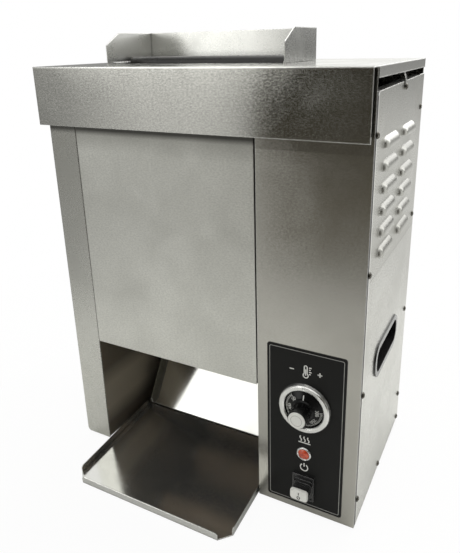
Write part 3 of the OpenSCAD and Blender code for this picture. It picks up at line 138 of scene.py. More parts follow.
level = lay(lay(left_wall, ramp(rear, 1.9, 2.4, 0.0, 1.0), back_wall), far_left, 1.08)
level = lay(lay(lay(level, right_high, 0.62), dark_corner, 0.045), doorway, 1.1)
level = lay(lay(lay(level, window, 2.6), softbox, 2.0), skylight, 2.2)
dim = times(dark_corner, ramp(level, 0.1, 0.4, 1.0, 0.0))
warmth = add(tree, "Mix", {"Factor": dim.outputs[0], "A": (1.0, 1.0, 0.975, 1), "B": (1.0, 0.9, 0.68, 1)},
             data_type="RGBA")
seen = add(tree, "Background", {"Color": (1, 1, 1, 1), "Strength": 1.0})
room = add(tree, "Background", {"Color": warmth.outputs["Result"], "Strength": level.outputs[0]})
mix = add(tree, "MixShader", {0: sight.outputs["Is Camera Ray"], 1: room.outputs[0], 2: seen.outputs[0]})
add(tree, "OutputWorld", {"Surface": mix.outputs[0]})

for name, place, target, size, power, tint in (
        ("overhead", (-0.1, 0.3, 2.2), (0, 0, 0.5), 1.8, 6, (1, 0.995, 0.98)),
        ("behind", (1.3, 2.0, 2.1), (0.5, 0.2, 0), 3.6, 66, (1, 1, 1))):
    lamp = bpy.data.objects.new(name, bpy.data.lights.new(name, "AREA"))
    lamp.data.shape = "SQUARE"
    lamp.data.size = size
    lamp.data.energy = power
    lamp.data.color = tint
    lamp.location = place
    lamp.rotation_euler = (Vector(target) - Vector(place)).to_track_quat("-Z", "Y").to_euler()
    bpy.context.scene.collection.objects.link(lamp)

reach = 6
floor_mesh = bpy.data.meshes.new("floor")
floor_mesh.from_pydata([(-reach, -reach, 0), (reach, -reach, 0), (reach, reach, 0), (-reach, reach, 0)],
                       [], [(0, 1, 2, 3)])
floor = bpy.data.objects.new("floor", floor_mesh)
bpy.context.scene.collection.objects.link(floor)
table = bpy.data.materials.new("pale_table")
table.use_nodes = True
tree = table.node_tree
tree.nodes.clear()
sight = add(tree, "LightPath")
matt = add(tree, "BsdfDiffuse", {"Color": (0.8, 0.8, 0.785, 1)})
glow = add(tree, "Emission", {"Color": (1, 1, 1, 1), "Strength": 1.0})
part = add(tree, "Math", {0: sight.outputs["Is Camera Ray"], 1: 0.95}, operation="MULTIPLY")
mix = add(tree, "MixShader", {0: part.outputs[0], 1: matt.outputs[0], 2: glow.outputs[0]})
# the table fades out, so that polished sheet shows the room beyond it
spot = add(tree, "TexCoord")
away = add(tree, "VectorMath", {0: spot.outputs["Object"]}, operation="LENGTH")
fade = add(tree, "MapRange", {"Value": away.outputs["Value"], "From Min": 0.3, "From Max": 1.15},
           interpolation_type="SMOOTHSTEP")
open_air = add(tree, "BsdfTransparent")
mix = add(tree, "MixShader", {0: fade.outputs["Result"], 1: mix.outputs[0], 2: open_air.outputs[0]})
add(tree, "OutputMaterial", {"Surface": mix.outputs[0]})
floor_mesh.materials.append(table)


# ------------------------------------------------------------------ casing panels
# Folded stainless sheet 1.2 mm thick with a fine upright brush: the left post with its flank, the
# control front, the right flank with its pressed louvres, and the rear panel. Screwed together.

def group(name, inputs, outputs):
    """A shader node group with named sockets; returns it with its input and output nodes."""
    made = bpy.data.node_groups.new(name, "ShaderNodeTree")
    for title, kind, value in inputs:
        socket = made.interface.new_socket(name=title, in_out="INPUT", socket_type="NodeSocket" + kind)
        socket.default_value = value
    for title, kind in outputs:
        made.interface.new_socket(name=title, in_out="OUTPUT", socket_type="NodeSocket" + kind)
    return made, made.nodes.new("NodeGroupInput"), made.nodes.new("NodeGroupOutput")


# brushed grain: long fine scratches along the axis that "Stretch" makes short, over a speckled skin
grain_group, given, out = group("brushed_grain", [("Stretch", "Vector", (900, 900, 9))],
                                [("Grain", "Float")])
spot = add(grain_group, "TexCoord")
fine = add(grain_group, "VectorMath", {0: spot.outputs["Object"], 1: given.outputs["Stretch"]},
           operation="MULTIPLY")
scratch = add(grain_group, "TexNoise", {"Vector": fine.outputs[0], "Scale": 1.0, "Detail": 3.0,
                                        "Roughness": 0.6})
skin = add(grain_group, "VectorMath", {0: spot.outputs["Object"], 1: (300, 420, 560)}, operation="MULTIPLY")
speckle = add(grain_group, "TexNoise", {"Vector": skin.outputs[0], "Scale": 1.0, "Detail": 2.0,
                                        "Roughness": 0.7})
clear = add(grain_group, "MapRange", {"Value": speckle.outputs["Fac"], "From Min": 0.34, "From Max": 0.66})
both = add(grain_group, "Mix", {"Factor": 0.6, "A": scratch.outputs["Fac"], "B": clear.outputs["Result"]},
           data_type="FLOAT")
grain_group.links.new(both.outputs[0], out.inputs["Grain"])

# painted edge highlight: bright where a sheet is folded or cut, from the difference to a rounded normal
edge_group, given, out = group("bright_edges", [("Radius", "Float", 0.0014), ("Gain", "Float", 4.0)],
                               [("Edge", "Float"), ("Normal", "Vector")])
soft = add(edge_group, "Bevel", {"Radius": given.outputs["Radius"]}, samples=4)
flat = add(edge_group, "NewGeometry")
same = add(edge_group, "VectorMath", {0: soft.outputs["Normal"], 1: flat.outputs["Normal"]},
           operation="DOT_PRODUCT")
turned = add(edge_group, "Math", {0: 1.0, 1: same.outputs["Value"]}, operation="SUBTRACT")
gained = add(edge_group, "Math", {0: turned.outputs[0], 1: given.outputs["Gain"]}, operation="MULTIPLY",
             use_clamp=True)
edge_group.links.new(gained.outputs[0], out.inputs["Edge"])
edge_group.links.new(soft.outputs["Normal"], out.inputs["Normal"])

# crevices: 1 in narrow gaps, under overlaps and deep inside, for dust and painted shade
crevice_group, given, out = group("crevices", [("Reach", "Float", 0.005), ("Depth", "Float", 0.07)],
                                  [("Crevice", "Float")])
near = add(crevice_group, "AmbientOcclusion", {"Distance": given.outputs["Reach"]}, samples=6)
deep = add(crevice_group, "AmbientOcclusion", {"Distance": given.outputs["Depth"]}, samples=6)
narrow = add(crevice_group, "MapRange", {"Value": near.outputs["AO"], "From Min": 0.15, "From Max": 0.75,
                                         "To Min": 1.0, "To Max": 0.0})
inside = add(crevice_group, "MapRange", {"Value": deep.outputs["AO"], "From Min": 0.03, "From Max": 0.28,
                                         "To Min": 1.0, "To Max": 0.0})
worst = add(crevice_group, "Math", {0: narrow.outputs["Result"], 1: inside.outputs["Result"]},
            operation="MAXIMUM")
crevice_group.links.new(worst.outputs[0], out.inputs["Crevice"])

# smudges: broad cloudy handling marks with small specks in them
smudge_group, given, out = group("smudges", [("Scale", "Float", 14.0), ("Specks", "Float", 0.25)],
                                 [("Smudge", "Float")])
spot = add(smudge_group, "TexCoord")
cloud = add(smudge_group, "TexNoise", {"Vector": spot.outputs["Object"], "Scale": given.outputs["Scale"],
                                       "Detail": 4.0, "Roughness": 0.55, "Distortion": 0.4})
cleared = add(smudge_group, "MapRange", {"Value": cloud.outputs["Fac"], "From Min": 0.38, "From Max": 0.68})
speck = add(smudge_group, "TexNoise", {"Vector": spot.outputs["Object"], "Scale": 420.0, "Detail": 1.0})
peak = add(smudge_group, "MapRange", {"Value": speck.outputs["Fac"], "From Min": 0.66, "From Max": 0.74})
share = add(smudge_group, "Math", {0: peak.outputs["Result"], 1: given.outputs["Specks"]},
            operation="MULTIPLY")
both = add(smudge_group, "Math", {0: cleared.outputs["Result"], 1: share.outputs[0]}, operation="ADD",
           use_clamp=True)
smudge_group.links.new(both.outputs[0], out.inputs["Smudge"])


def place_group(tree, made, **inputs):
    """Puts a node group into a material."""
    node = tree.nodes.new("ShaderNodeGroup")
    node.node_tree = made
    for name, value in inputs.items():
        node.inputs[name].default_value = value
    return node


def steel(name, dark, light, stretch, rough=(0.26, 0.4), smudge=14.0, bump=0.12, edge=(0.9, 0.9, 0.87),
          brush=None, spread=0.5, metallic=1.0, fold=0.0014, depth=0.07):
    """Bare sheet steel: brushed grain, cloudy smudges, painted edge highlights, and painted shade with dust
    in the crevices.
    Reflections spread across the brush's direction."""
    dusty, black, smudge_share, smudge_haze = 0.86, 0.12, 0.25, 0.08
    material = bpy.data.materials.new(name)
    material.use_nodes = True
    tree = material.node_tree
    shader = tree.nodes["Principled BSDF"]
    shader.inputs["Metallic"].default_value = metallic
    if brush:
        shader.inputs["Anisotropic"].default_value = spread
        surface = add(tree, "NewGeometry")
        across = add(tree, "VectorMath", {0: surface.outputs["Normal"], 1: brush}, operation="CROSS_PRODUCT")
        tree.links.new(across.outputs[0], shader.inputs["Tangent"])
    grain = place_group(tree, grain_group, Stretch=stretch)
    cloud = place_group(tree, smudge_group, Scale=smudge)
    rim = place_group(tree, edge_group, Radius=fold)
    gap = place_group(tree, crevice_group, Depth=depth)
    tone = add(tree, "Mix", {"Factor": grain.outputs[0], "A": (*dark, 1), "B": (*light, 1)}, data_type="RGBA")
    dulled = add(tree, "Mix", {"A": tone.outputs["Result"], "B": (*[c * dusty for c in dark], 1)},
                 data_type="RGBA")
    veil = add(tree, "Math", {0: cloud.outputs[0], 1: smudge_share}, operation="MULTIPLY")
    tree.links.new(veil.outputs[0], dulled.inputs["Factor"])
    # painted highlight on folded and cut edges
    edge_lit = add(tree, "Mix", {"Factor": rim.outputs[0], "A": dulled.outputs["Result"], "B": (*edge, 1)},
               data_type="RGBA")
    # crevices darkened: painted shade, with the dust that gathers there
    shaded = add(tree, "Mix", {"A": edge_lit.outputs["Result"], "B": (*[c * black for c in dark], 1)},
                 data_type="RGBA")
    tree.links.new(gap.outputs[0], shaded.inputs["Factor"])
    tree.links.new(shaded.outputs["Result"], shader.inputs["Base Color"])
    streak = add(tree, "MapRange", {"Value": grain.outputs[0], "From Min": 0.25, "From Max": 0.75,
                                    "To Min": rough[0], "To Max": rough[1]})
    haze = add(tree, "Math", {0: cloud.outputs[0], 1: smudge_haze}, operation="MULTIPLY")
    total = add(tree, "Math", {0: streak.outputs["Result"], 1: haze.outputs[0]}, operation="ADD")
    tree.links.new(total.outputs[0], shader.inputs["Roughness"])
    relief = add(tree, "Bump", {"Height": grain.outputs[0], "Strength": bump, "Distance": 0.0001,
                                "Normal": rim.outputs["Normal"]})
    tree.links.new(relief.outputs["Normal"], shader.inputs["Normal"])
    return material


def dress(material, *names):
    """Gives CAD nodes their finish."""
    for name in names:
        for place in nodes[name].material_slots:
            place.material = material


def tint_strip(material, axis, low, high, soft, colour, strength=1.0, facing=None):
    """Tints a strip of a material between two places on an axis, on faces that look along facing. Most strips
    below are painted shade and painted light.
    """
    tree = material.node_tree
    base = tree.nodes["Principled BSDF"].inputs["Base Color"]
    spot = add(tree, "SeparateXYZ", {0: add(tree, "TexCoord").outputs["Object"]})
    rise = add(tree, "MapRange", {"Value": spot.outputs[axis], "From Min": low - soft, "From Max": low,
                                  "To Max": strength})
    fall = add(tree, "MapRange", {"Value": spot.outputs[axis], "From Min": high, "From Max": high + soft,
                                  "To Min": 1.0, "To Max": 0.0})
    strip = add(tree, "Math", {0: rise.outputs[0], 1: fall.outputs[0]}, operation="MULTIPLY")
    if facing:
        look = add(tree, "VectorMath", {0: add(tree, "NewGeometry").outputs["Normal"], 1: facing},
                   operation="DOT_PRODUCT")
        turned = add(tree, "MapRange", {"Value": look.outputs["Value"], "From Min": 0.5, "From Max": 0.9})
        strip = add(tree, "Math", {0: strip.outputs[0], 1: turned.outputs[0]}, operation="MULTIPLY")
    tinted = add(tree, "Mix", {"Factor": strip.outputs[0], "A": base.links[0].from_socket, "B": (*colour, 1)},
                 data_type="RGBA")
    tree.links.new(tinted.outputs["Result"], base)


to_front, to_right = (0, -1, 0), (1, 0, 0)
upright_lines, upright_way = (1100, 1100, 40), (0.02, 0.03, 1)
band_foot = 0.505
upright_brush = steel("upright_brushed_steel", (0.53, 0.53, 0.49), (0.69, 0.687, 0.65), upright_lines,
                      rough=(0.21, 0.27), bump=0.08, brush=upright_way, spread=0.3)
# shade of the top cover's band on the post
tint_strip(upright_brush, "Z", 0.55, 0.6, 0.35, (0.2, 0.195, 0.175), 0.65, to_front)
tint_strip(upright_brush, "Z", band_foot, 0.55, 0.006, (0.03, 0.029, 0.026), 0.8, to_front)
dress(upright_brush, "left_side_panel", "rear_panel")
front_brush = steel("front_brushed_steel", (0.47, 0.46, 0.42), (0.57, 0.56, 0.52), upright_lines,
                    rough=(0.14, 0.18), bump=0.05, brush=upright_way, spread=0.1)
# the narrow return round the corner lies in the shade of the flank's edge
tint_strip(front_brush, "Y", -0.0920, -0.08, 0.0003, (0.012, 0.011, 0.009), facing=to_right)
# shade of the top cover's band, and painted shade towards the right corner
tint_strip(front_brush, "Z", 0.497, 0.6, 0.002, (0.2, 0.19, 0.165), 0.4, to_front)
tint_strip(front_brush, "X", 0.19, 0.23, 0.05, (0.4, 0.39, 0.355), 0.5, to_front)
dress(front_brush, "control_front_panel")
flank_brush = steel("flank_brushed_steel", (0.61, 0.61, 0.58), (0.71, 0.71, 0.68), upright_lines,
                    rough=(0.22, 0.28), bump=0.05, brush=upright_way, spread=0.3)
# left where the protective film ended
film_end, filmed = 0.3493, (0.44, 0.435, 0.4)
tint_strip(flank_brush, "Z", film_end, 0.7, 0.0004, filmed, 0.62, to_right)
tint_strip(flank_brush, "Z", 0.27, 0.3485, 0.06, filmed, 0.55, to_right)
tint_strip(flank_brush, "Z", 0.3489, film_end, 0.0003, (0.1, 0.09, 0.08), 0.8, to_right)
# painted shade on the hoods' upward-facing sides
tint_strip(flank_brush, "Z", film_end, 0.5, 0.0004, (0.24, 0.235, 0.215), 0.72, (0.25, 0, 0.97))
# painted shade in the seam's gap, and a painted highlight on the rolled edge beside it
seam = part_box("right_side_panel")[0][1]
tint_strip(flank_brush, "Y", seam + 0.0025, seam + 0.0045, 0.0006, (0.9, 0.9, 0.87), 0.8)
tint_strip(flank_brush, "Y", seam - 0.001, seam + 0.0012, 0.0008, (0.02, 0.018, 0.015))
dress(flank_brush, "right_side_panel")

# ------------------------------------------------------------------ top cover
# One sheet folded down in front to a deep band, with the brush running across. Its right flange is
# tied to the flank by a small strap with a screw.
cross_brush = steel("cross_brushed_steel", (0.4, 0.4, 0.373), (0.7, 0.695, 0.66), (40, 1100, 1100),
                    rough=(0.09, 0.14), bump=0.09, brush=(1, 0.03, 0.02), spread=0.5, fold=0.002)
# painted shade: the band in front is a little darker than the top
tint_strip(cross_brush, "Z", 0.4, 0.7, 0.01, (0.3, 0.295, 0.27), 0.28, to_front)
# painted highlight along the front fold
tint_strip(cross_brush, "Z", 0.5846, 0.59, 0.0006, (1.0, 1.0, 0.97), 0.9, to_front)
dress(cross_brush, "top_cover", "lid_strap")

# ------------------------------------------------------------------ front cover
# A lift-off stainless sheet between the post and the control box. A hook folded at its top edge
# hangs on a rail behind it.
cover_brush = steel("cover_brushed_steel", (0.54, 0.542, 0.505), (0.82, 0.82, 0.77), upright_lines,
                    rough=(0.28, 0.34), bump=0.08, brush=upright_way)
# shade of the top cover's band
tint_strip(cover_brush, "Z", 0.506, 0.6, 0.03, (0.2, 0.195, 0.175), 0.6, to_front)
tint_strip(cover_brush, "Z", band_foot, 0.6, 0.007, (0.03, 0.029, 0.026), 0.85, to_front)
# the cut edge beside the post is in shade
cover_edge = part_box("front_cover")[0][0]
tint_strip(cover_brush, "X", cover_edge - 0.001, cover_edge + 0.0006, 0.0008, (0.1, 0.095, 0.085), 0.7)
dress(cover_brush, "front_cover")

# ------------------------------------------------------------------ feeder
# Two cheeks and a back plate of bright sheet, one loose piece. Flanges at its foot lie on the top
# cover and tabs drop into the slot.
feeder_steel = steel("feeder_sheet", (0.68, 0.68, 0.655), (0.78, 0.78, 0.75), (40, 1400, 1400),
                     rough=(0.22, 0.27), bump=0.03)
# the right cheek's outer side is in the shade of its fold
tint_strip(feeder_steel, "X", 0.07, 0.1, 0.01, (0.2, 0.2, 0.185), 0.66, to_right)
dress(feeder_steel, "bun_feeder")

# ------------------------------------------------------------------ inner sheets
# Folded from plain mill-finish sheet: the two walls of the cooking section, the base they stand on
# and the front cover's rail. The heat has browned them a little.
mill_sheet = steel("mill_finish_sheet", (0.26, 0.23, 0.18), (0.34, 0.3, 0.245), (240, 240, 30),
                   rough=(0.3, 0.42), smudge=22.0, bump=0.05, edge=(0.6, 0.58, 0.54), metallic=0.75,
                   depth=0.012)
# darker towards the top
tint_strip(mill_sheet, "Z", 0.5, 0.6, 0.12, (0.03, 0.027, 0.022), 0.92)
# painted light low on the right-facing sides
tint_strip(mill_sheet, "Z", 0.06, 0.1, 0.03, (0.84, 0.76, 0.62), 0.8, to_right)
dress(mill_sheet, "base_plate", "left_inner_wall", "control_inner_wall", "front_rail")

# ------------------------------------------------------------------ platen
# Two thick aluminium plates with the heating element between them, carried by the inner walls. A
# bent cap with a round top, nearly black, covers their upper edges.
platen_cast = steel("platen_plate", (0.16, 0.155, 0.15), (0.24, 0.23, 0.22), (60, 60, 400),
                    rough=(0.4, 0.6), smudge=30.0, bump=0.08, edge=(0.4, 0.39, 0.37))
dress(platen_cast, "front_platen_plate", "rear_platen_plate")
dark_cap = steel("near_black_cap", (0.006, 0.0057, 0.0055), (0.016, 0.015, 0.014), (9, 700, 700),
                rough=(0.24, 0.34), smudge=30.0, bump=0.08, edge=(0.05, 0.048, 0.045), metallic=0.3,
                fold=0.0006)
dress(dark_cap, "platen_cap", "heating_element")

# ------------------------------------------------------------------ fittings
# Zinc-plated screws, pillars, mounts and bracket, ground steel shafts with turned alloy rollers,
# oiled steel gears, and bushes of sintered bronze pressed into the walls.
head_steel = steel("screw_head_steel", (0.05, 0.046, 0.038), (0.13, 0.12, 0.1), (500, 500, 500),
                   rough=(0.08, 0.16), smudge=200.0, bump=0.1, edge=(0.8, 0.8, 0.76), fold=0.0005)
dress(head_steel, "casing_screws")
zinc = steel("zinc_plate", (0.48, 0.49, 0.51), (0.64, 0.65, 0.66), (300, 300, 300), rough=(0.22, 0.38),
             smudge=60.0, bump=0.05)
dress(zinc, "platen_screws", "foot_screws", "platen_mounts", "motor_bracket", "motor_pillars")
ground = steel("ground_shaft", (0.5, 0.51, 0.52), (0.66, 0.67, 0.68), (20, 900, 900), rough=(0.14, 0.24),
               smudge=40.0, bump=0.04)
dress(ground, "front_drive_shaft", "rear_drive_shaft", "front_top_shaft", "rear_top_shaft", "idler_stud")
turned_alloy = steel("turned_alloy", (0.6, 0.6, 0.61), (0.76, 0.76, 0.76), (1400, 40, 40), rough=(0.22, 0.36))
dress(turned_alloy, "front_drive_roller", "rear_drive_roller", "front_top_roller", "rear_top_roller")
gear_metal = steel("oiled_gear_steel", (0.18, 0.18, 0.185), (0.3, 0.3, 0.31), (900, 60, 60),
                   rough=(0.22, 0.4), edge=(0.6, 0.6, 0.6))
dress(gear_metal, "front_drive_gear", "rear_drive_gear", "idler_gear", "motor_gear")
bronze = steel("sintered_bronze", (0.4, 0.27, 0.12), (0.56, 0.4, 0.2), (300, 300, 300),
               rough=(0.3, 0.48), smudge=60.0, edge=(0.78, 0.6, 0.34))
dress(bronze, "shaft_bushes")


# ------------------------------------------------------------------ moulded and painted pieces
# Black mouldings of handles, switch, lamp body and gland, white caps and terminal block, a brown
# phenolic thermostat, rubber belts and feet, glazed ceramic bushes and an enamelled motor.

def moulding(name, dark, light, rough, texture=500.0, bump=0.15, coat=0.0, smudge=20.0, edge_glint=0.04):
    """Moulded plastic, rubber or enamel: fine surface texture, dusty smudges and painted highlights on the
    edges.
    """
    material = bpy.data.materials.new(name)
    material.use_nodes = True
    tree = material.node_tree
    shader = tree.nodes["Principled BSDF"]
    shader.inputs["Coat Weight"].default_value = coat
    shader.inputs["Coat Roughness"].default_value = 0.12
    spot = add(tree, "TexCoord")
    pore = add(tree, "TexNoise", {"Vector": spot.outputs["Object"], "Scale": texture, "Detail": 2.0})
    cloud = place_group(tree, smudge_group, Scale=smudge, Specks=0.4)
    rim = place_group(tree, edge_group, Gain=3.0, Radius=0.0008)
    tone = add(tree, "Mix", {"Factor": cloud.outputs[0], "A": (*dark, 1), "B": (*light, 1)}, data_type="RGBA")
    # painted highlight on the edges, lighter than the moulding
    glint_colour = [min(1, c * 1.5 + edge_glint) for c in light]
    glinted = add(tree, "Mix", {"A": tone.outputs["Result"], "B": (*glint_colour, 1)}, data_type="RGBA")
    weak = add(tree, "Math", {0: rim.outputs[0], 1: 0.6}, operation="MULTIPLY")
    tree.links.new(weak.outputs[0], glinted.inputs["Factor"])
    tree.links.new(glinted.outputs["Result"], shader.inputs["Base Color"])
    gloss = add(tree, "MapRange", {"Value": cloud.outputs[0], "To Min": rough - 0.06, "To Max": rough + 0.1})
    tree.links.new(gloss.outputs["Result"], shader.inputs["Roughness"])
    relief = add(tree, "Bump", {"Height": pore.outputs["Fac"], "Strength": bump, "Distance": 0.0002,
                                "Normal": rim.outputs["Normal"]})
    tree.links.new(relief.outputs["Normal"], shader.inputs["Normal"])
    return material


black_plastic = moulding("black_moulding", (0.010, 0.010, 0.010), (0.022, 0.022, 0.022), 0.2,
                         coat=0.5, edge_glint=0.45)
dress(black_plastic, "right_handle", "left_handle", "switch_housing", "switch_button", "cable_gland",
      "lamp_body")
phenolic = moulding("brown_phenolic", (0.13, 0.06, 0.03), (0.2, 0.1, 0.05), 0.4)
dress(phenolic, "thermostat")
belt_rubber = moulding("belt_rubber", (0.34, 0.26, 0.185), (0.46, 0.36, 0.265), 0.7, texture=700.0, bump=0.4)
dress(belt_rubber, "front_belt", "rear_belt")
foot_rubber = moulding("foot_rubber", (0.02, 0.02, 0.02), (0.045, 0.045, 0.045), 0.75, texture=700.0,
                       bump=0.4)
dress(foot_rubber, "rubber_feet")
enamel = moulding("motor_enamel", (0.03, 0.03, 0.032), (0.06, 0.06, 0.062), 0.3, texture=200.0, bump=0.1,
                  coat=0.4)
dress(enamel, "gear_motor")
ceramic = moulding("glazed_ceramic", (0.72, 0.7, 0.63), (0.62, 0.58, 0.5), 0.25, texture=200.0, bump=0.05,
                   coat=0.3)
dress(ceramic, "element_bushes")
white_plastic = moulding("white_moulding", (0.88, 0.88, 0.84), (0.78, 0.78, 0.74), 0.34, texture=300.0,
                         bump=0.04, coat=0.2, smudge=60.0)
dress(white_plastic, "knob_cap", "button_cap", "terminal_block")

# ------------------------------------------------------------------ chute and tray
# Polished sheet that shows what stands over it. The chute is welded from a slope and two gussets;
# the tray is loose and lies on the table and the base's edge.
polished = steel("mirror_polished_steel", (0.56, 0.56, 0.54), (0.62, 0.62, 0.6), (60, 60, 60),
                 rough=(0.05, 0.1), smudge=9.0, bump=0.02, metallic=0.96)
dress(polished, "chute")
satin = steel("satin_tray_steel", (0.66, 0.66, 0.64), (0.76, 0.76, 0.74), (60, 60, 60), rough=(0.09, 0.16),
              smudge=9.0, bump=0.03, metallic=0.95, depth=0.012)
dress(satin, "bun_tray")

# ------------------------------------------------------------------ control plate
# A black printed film on the control front with a fine pale border. Small plain signs mark the
# dial, the lamp and the switch.
film = moulding("black_film", (0.004, 0.0042, 0.0038), (0.006, 0.006, 0.0055), 0.4, texture=900.0, bump=0.08)
film.node_tree.nodes["Principled BSDF"].inputs["Specular IOR Level"].default_value = 0.22
dress(film, "control_plate")


def print_ink(name, colour):
    """Screen ink: even and slightly mottled."""
    material = bpy.data.materials.new(name)
    material.use_nodes = True
    tree = material.node_tree
    shader = tree.nodes["Principled BSDF"]
    shader.inputs["Roughness"].default_value = 0.45
    spot = add(tree, "TexCoord")
    mottle = add(tree, "TexNoise", {"Vector": spot.outputs["Object"], "Scale": 1500.0, "Detail": 2.0})
    tone = add(tree, "Mix", {"Factor": mottle.outputs["Fac"], "A": (*[c * 0.8 for c in colour], 1),
                             "B": (*colour, 1)}, data_type="RGBA")
    tree.links.new(tone.outputs["Result"], shader.inputs["Base Color"])
    return material


ink_depth = 0.00006


def printed(name, strokes, material, body, place, relief=None):
    """One mesh of flat inked strokes. A stroke is (points, width) in the plane of place's X and Y;
    relief gives the height of the surface they lie on."""
    built = bmesh.new()
    for points, width in strokes:
        rows = []
        for k, point in enumerate(points):
            before = Vector(points[max(k - 1, 0)])
            after = Vector(points[min(k + 1, len(points) - 1)])
            if points[0] == points[-1] and k in (0, len(points) - 1):
                before, after = Vector(points[-2]), Vector(points[1])
            along = (after - before).normalized()
            side = Vector((-along.y, along.x)) * width / 2
            centre = Vector(point)
            low = relief(*centre) if relief else 0.0
            rows.append([built.verts.new((*(centre + side * s), low + z))
                         for s in (-1, 1) for z in (0, ink_depth)])
        for a, b in zip(rows, rows[1:]):
            for i, j in ((0, 1), (1, 3), (3, 2), (2, 0)):
                built.faces.new((a[i], a[j], b[j], b[i]))
        if points[0] != points[-1]:
            built.faces.new((rows[0][0], rows[0][2], rows[0][3], rows[0][1]))
            built.faces.new((rows[-1][0], rows[-1][1], rows[-1][3], rows[-1][2]))
    built.transform(place)
    bmesh.ops.recalc_face_normals(built, faces=built.faces)
    mesh = bpy.data.meshes.new(name)
    built.to_mesh(mesh)
    built.free()
    piece = bpy.data.objects.new(name, mesh)
    bpy.context.scene.collection.objects.link(piece)
    mesh.materials.append(material)
    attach(piece, body)


def arc(x, y, radius, start, end, steps=24):
    """Points on an arc, in degrees."""
    return [(x + radius * math.cos(math.radians(start + (end - start) * k / steps)),
             y + radius * math.sin(math.radians(start + (end - start) * k / steps)))
            for k in range(steps + 1)]


def round_frame(width, height, radius):
    """Points round a rectangle with round corners, closed."""
    points = []
    for cx, cy, start in ((1, 1, 0), (-1, 1, 90), (-1, -1, 180), (1, -1, 270)):
        points += arc(cx * (width / 2 - radius), cy * (height / 2 - radius), radius, start, start + 90, 8)
    return points + points[:1]


plate_low, plate_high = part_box("control_plate")
plate_face = plate_low[1]
plate_mid = Vector(((plate_low[0] + plate_high[0]) / 2, plate_face, (plate_low[2] + plate_high[2]) / 2))
outward = Matrix(((1, 0, 0), (0, 0, -1), (0, 1, 0))).to_4x4()
grey_ink = print_ink("grey_ink", (0.42, 0.42, 0.40))
white_ink = print_ink("white_ink", (0.82, 0.82, 0.79))
border_inset = 0.0035
printed("plate_border", [(round_frame(plate_high[0] - plate_low[0] - 2 * border_inset,
                                      plate_high[2] - plate_low[2] - 2 * border_inset, 0.002), 0.0007)],
        grey_ink, "case", Matrix.Translation(plate_mid) @ outward)

lamp_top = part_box("lamp_ring")[1][2]
dial_low, dial_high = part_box("dial_ring")
switch_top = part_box("switch_housing")[1][2]
axis_x = (dial_low[0] + dial_high[0]) / 2
line, sign_gap = 0.0015, 0.0115


def sign_place(z):
    """On the plate's face, over the control axis, at height z."""
    return Matrix.Translation((axis_x, plate_face, z)) @ outward


# thermometer over the dial, between a minus and a plus
bulb = arc(0, -0.0052, 0.0033, 125, 415, 20)
tube = [(-0.0019, -0.0025), (-0.0019, 0.0066)] + arc(0, 0.0066, 0.0019, 180, 0, 8) + [(0.0019, -0.0025)]
mercury = [(0, -0.0052), (0, 0.0036)]
mark_heights = [0.0068 - 0.0031 * k for k in range(4)]
marks = [([(0.0042, mark), (0.0076 - 0.0012 * (k % 2), mark)], line) for k, mark in enumerate(mark_heights)]
minus = [([(-0.0215, 0), (-0.0155, 0)], line)]
plus = [([(0.0155, 0), (0.0215, 0)], line), ([(0.0185, -0.003), (0.0185, 0.003)], line)]
printed("temperature_sign", [(bulb, line), (tube, line), (mercury, 0.0016)] + marks + minus + plus,
        white_ink, "case", sign_place(dial_high[2] + 0.0165))
# three rising waves over a line, above the lamp
waves = [([(x + 0.0011 * math.sin(k / 10 * 2 * math.pi), -0.0033 + 0.0078 * k / 10) for k in range(11)], line)
         for x in (-0.0052, 0, 0.0052)]
printed("heat_sign", waves + [([(-0.0082, -0.0052), (0.0082, -0.0052)], line)],
        white_ink, "case", sign_place(lamp_top + sign_gap))
# ring with a gap and a bar over the switch
printed("power_sign", [(arc(0, 0, 0.0052, 122, 418, 28), line), ([(0, 0.0014), (0, 0.007)], line)],
        white_ink, "case", sign_place(switch_top + sign_gap))

# ------------------------------------------------------------------ dial
# A turned bright ring on the plate, round the black knob. The knob's cone carries a printed scale,
# and a white cap closes its grip.
bright_ring = steel("bright_turned_ring", (0.76, 0.76, 0.74), (0.88, 0.88, 0.86), (900, 900, 900),
                    rough=(0.1, 0.2), smudge=50.0, bump=0.05)
# turned: reflections spread from the middle outwards
shader = bright_ring.node_tree.nodes["Principled BSDF"]
shader.inputs["Anisotropic"].default_value = 0.6
shader.inputs["Anisotropic Rotation"].default_value = 0.25
lathe = add(bright_ring.node_tree, "Tangent", direction_type="RADIAL", axis="Y")
bright_ring.node_tree.links.new(lathe.outputs[0], shader.inputs["Tangent"])
dress(bright_ring, "dial_ring", "lamp_ring")
knob_black = moulding("knob_black", (0.003, 0.003, 0.003), (0.006, 0.006, 0.006), 0.26, texture=900.0,
                      bump=0.05)
knob_black.node_tree.nodes["Principled BSDF"].inputs["Specular IOR Level"].default_value = 0.22
dress(knob_black, "temperature_knob")
knob_low, knob_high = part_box("temperature_knob")
cap_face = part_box("knob_cap")[0][1]
dial_z = (dial_low[2] + dial_high[2]) / 2
skirt_radius = (knob_high[0] - knob_low[0]) / 2
skirt_edge = plate_face - 0.0032
cone_width, cone_rise = 0.009, 0.004


def on_skirt(x, y):
    """Height of the knob's cone over the skirt's edge."""
    return cone_rise * min(1.0, max(0.0, (skirt_radius - math.hypot(x, y)) / cone_width))


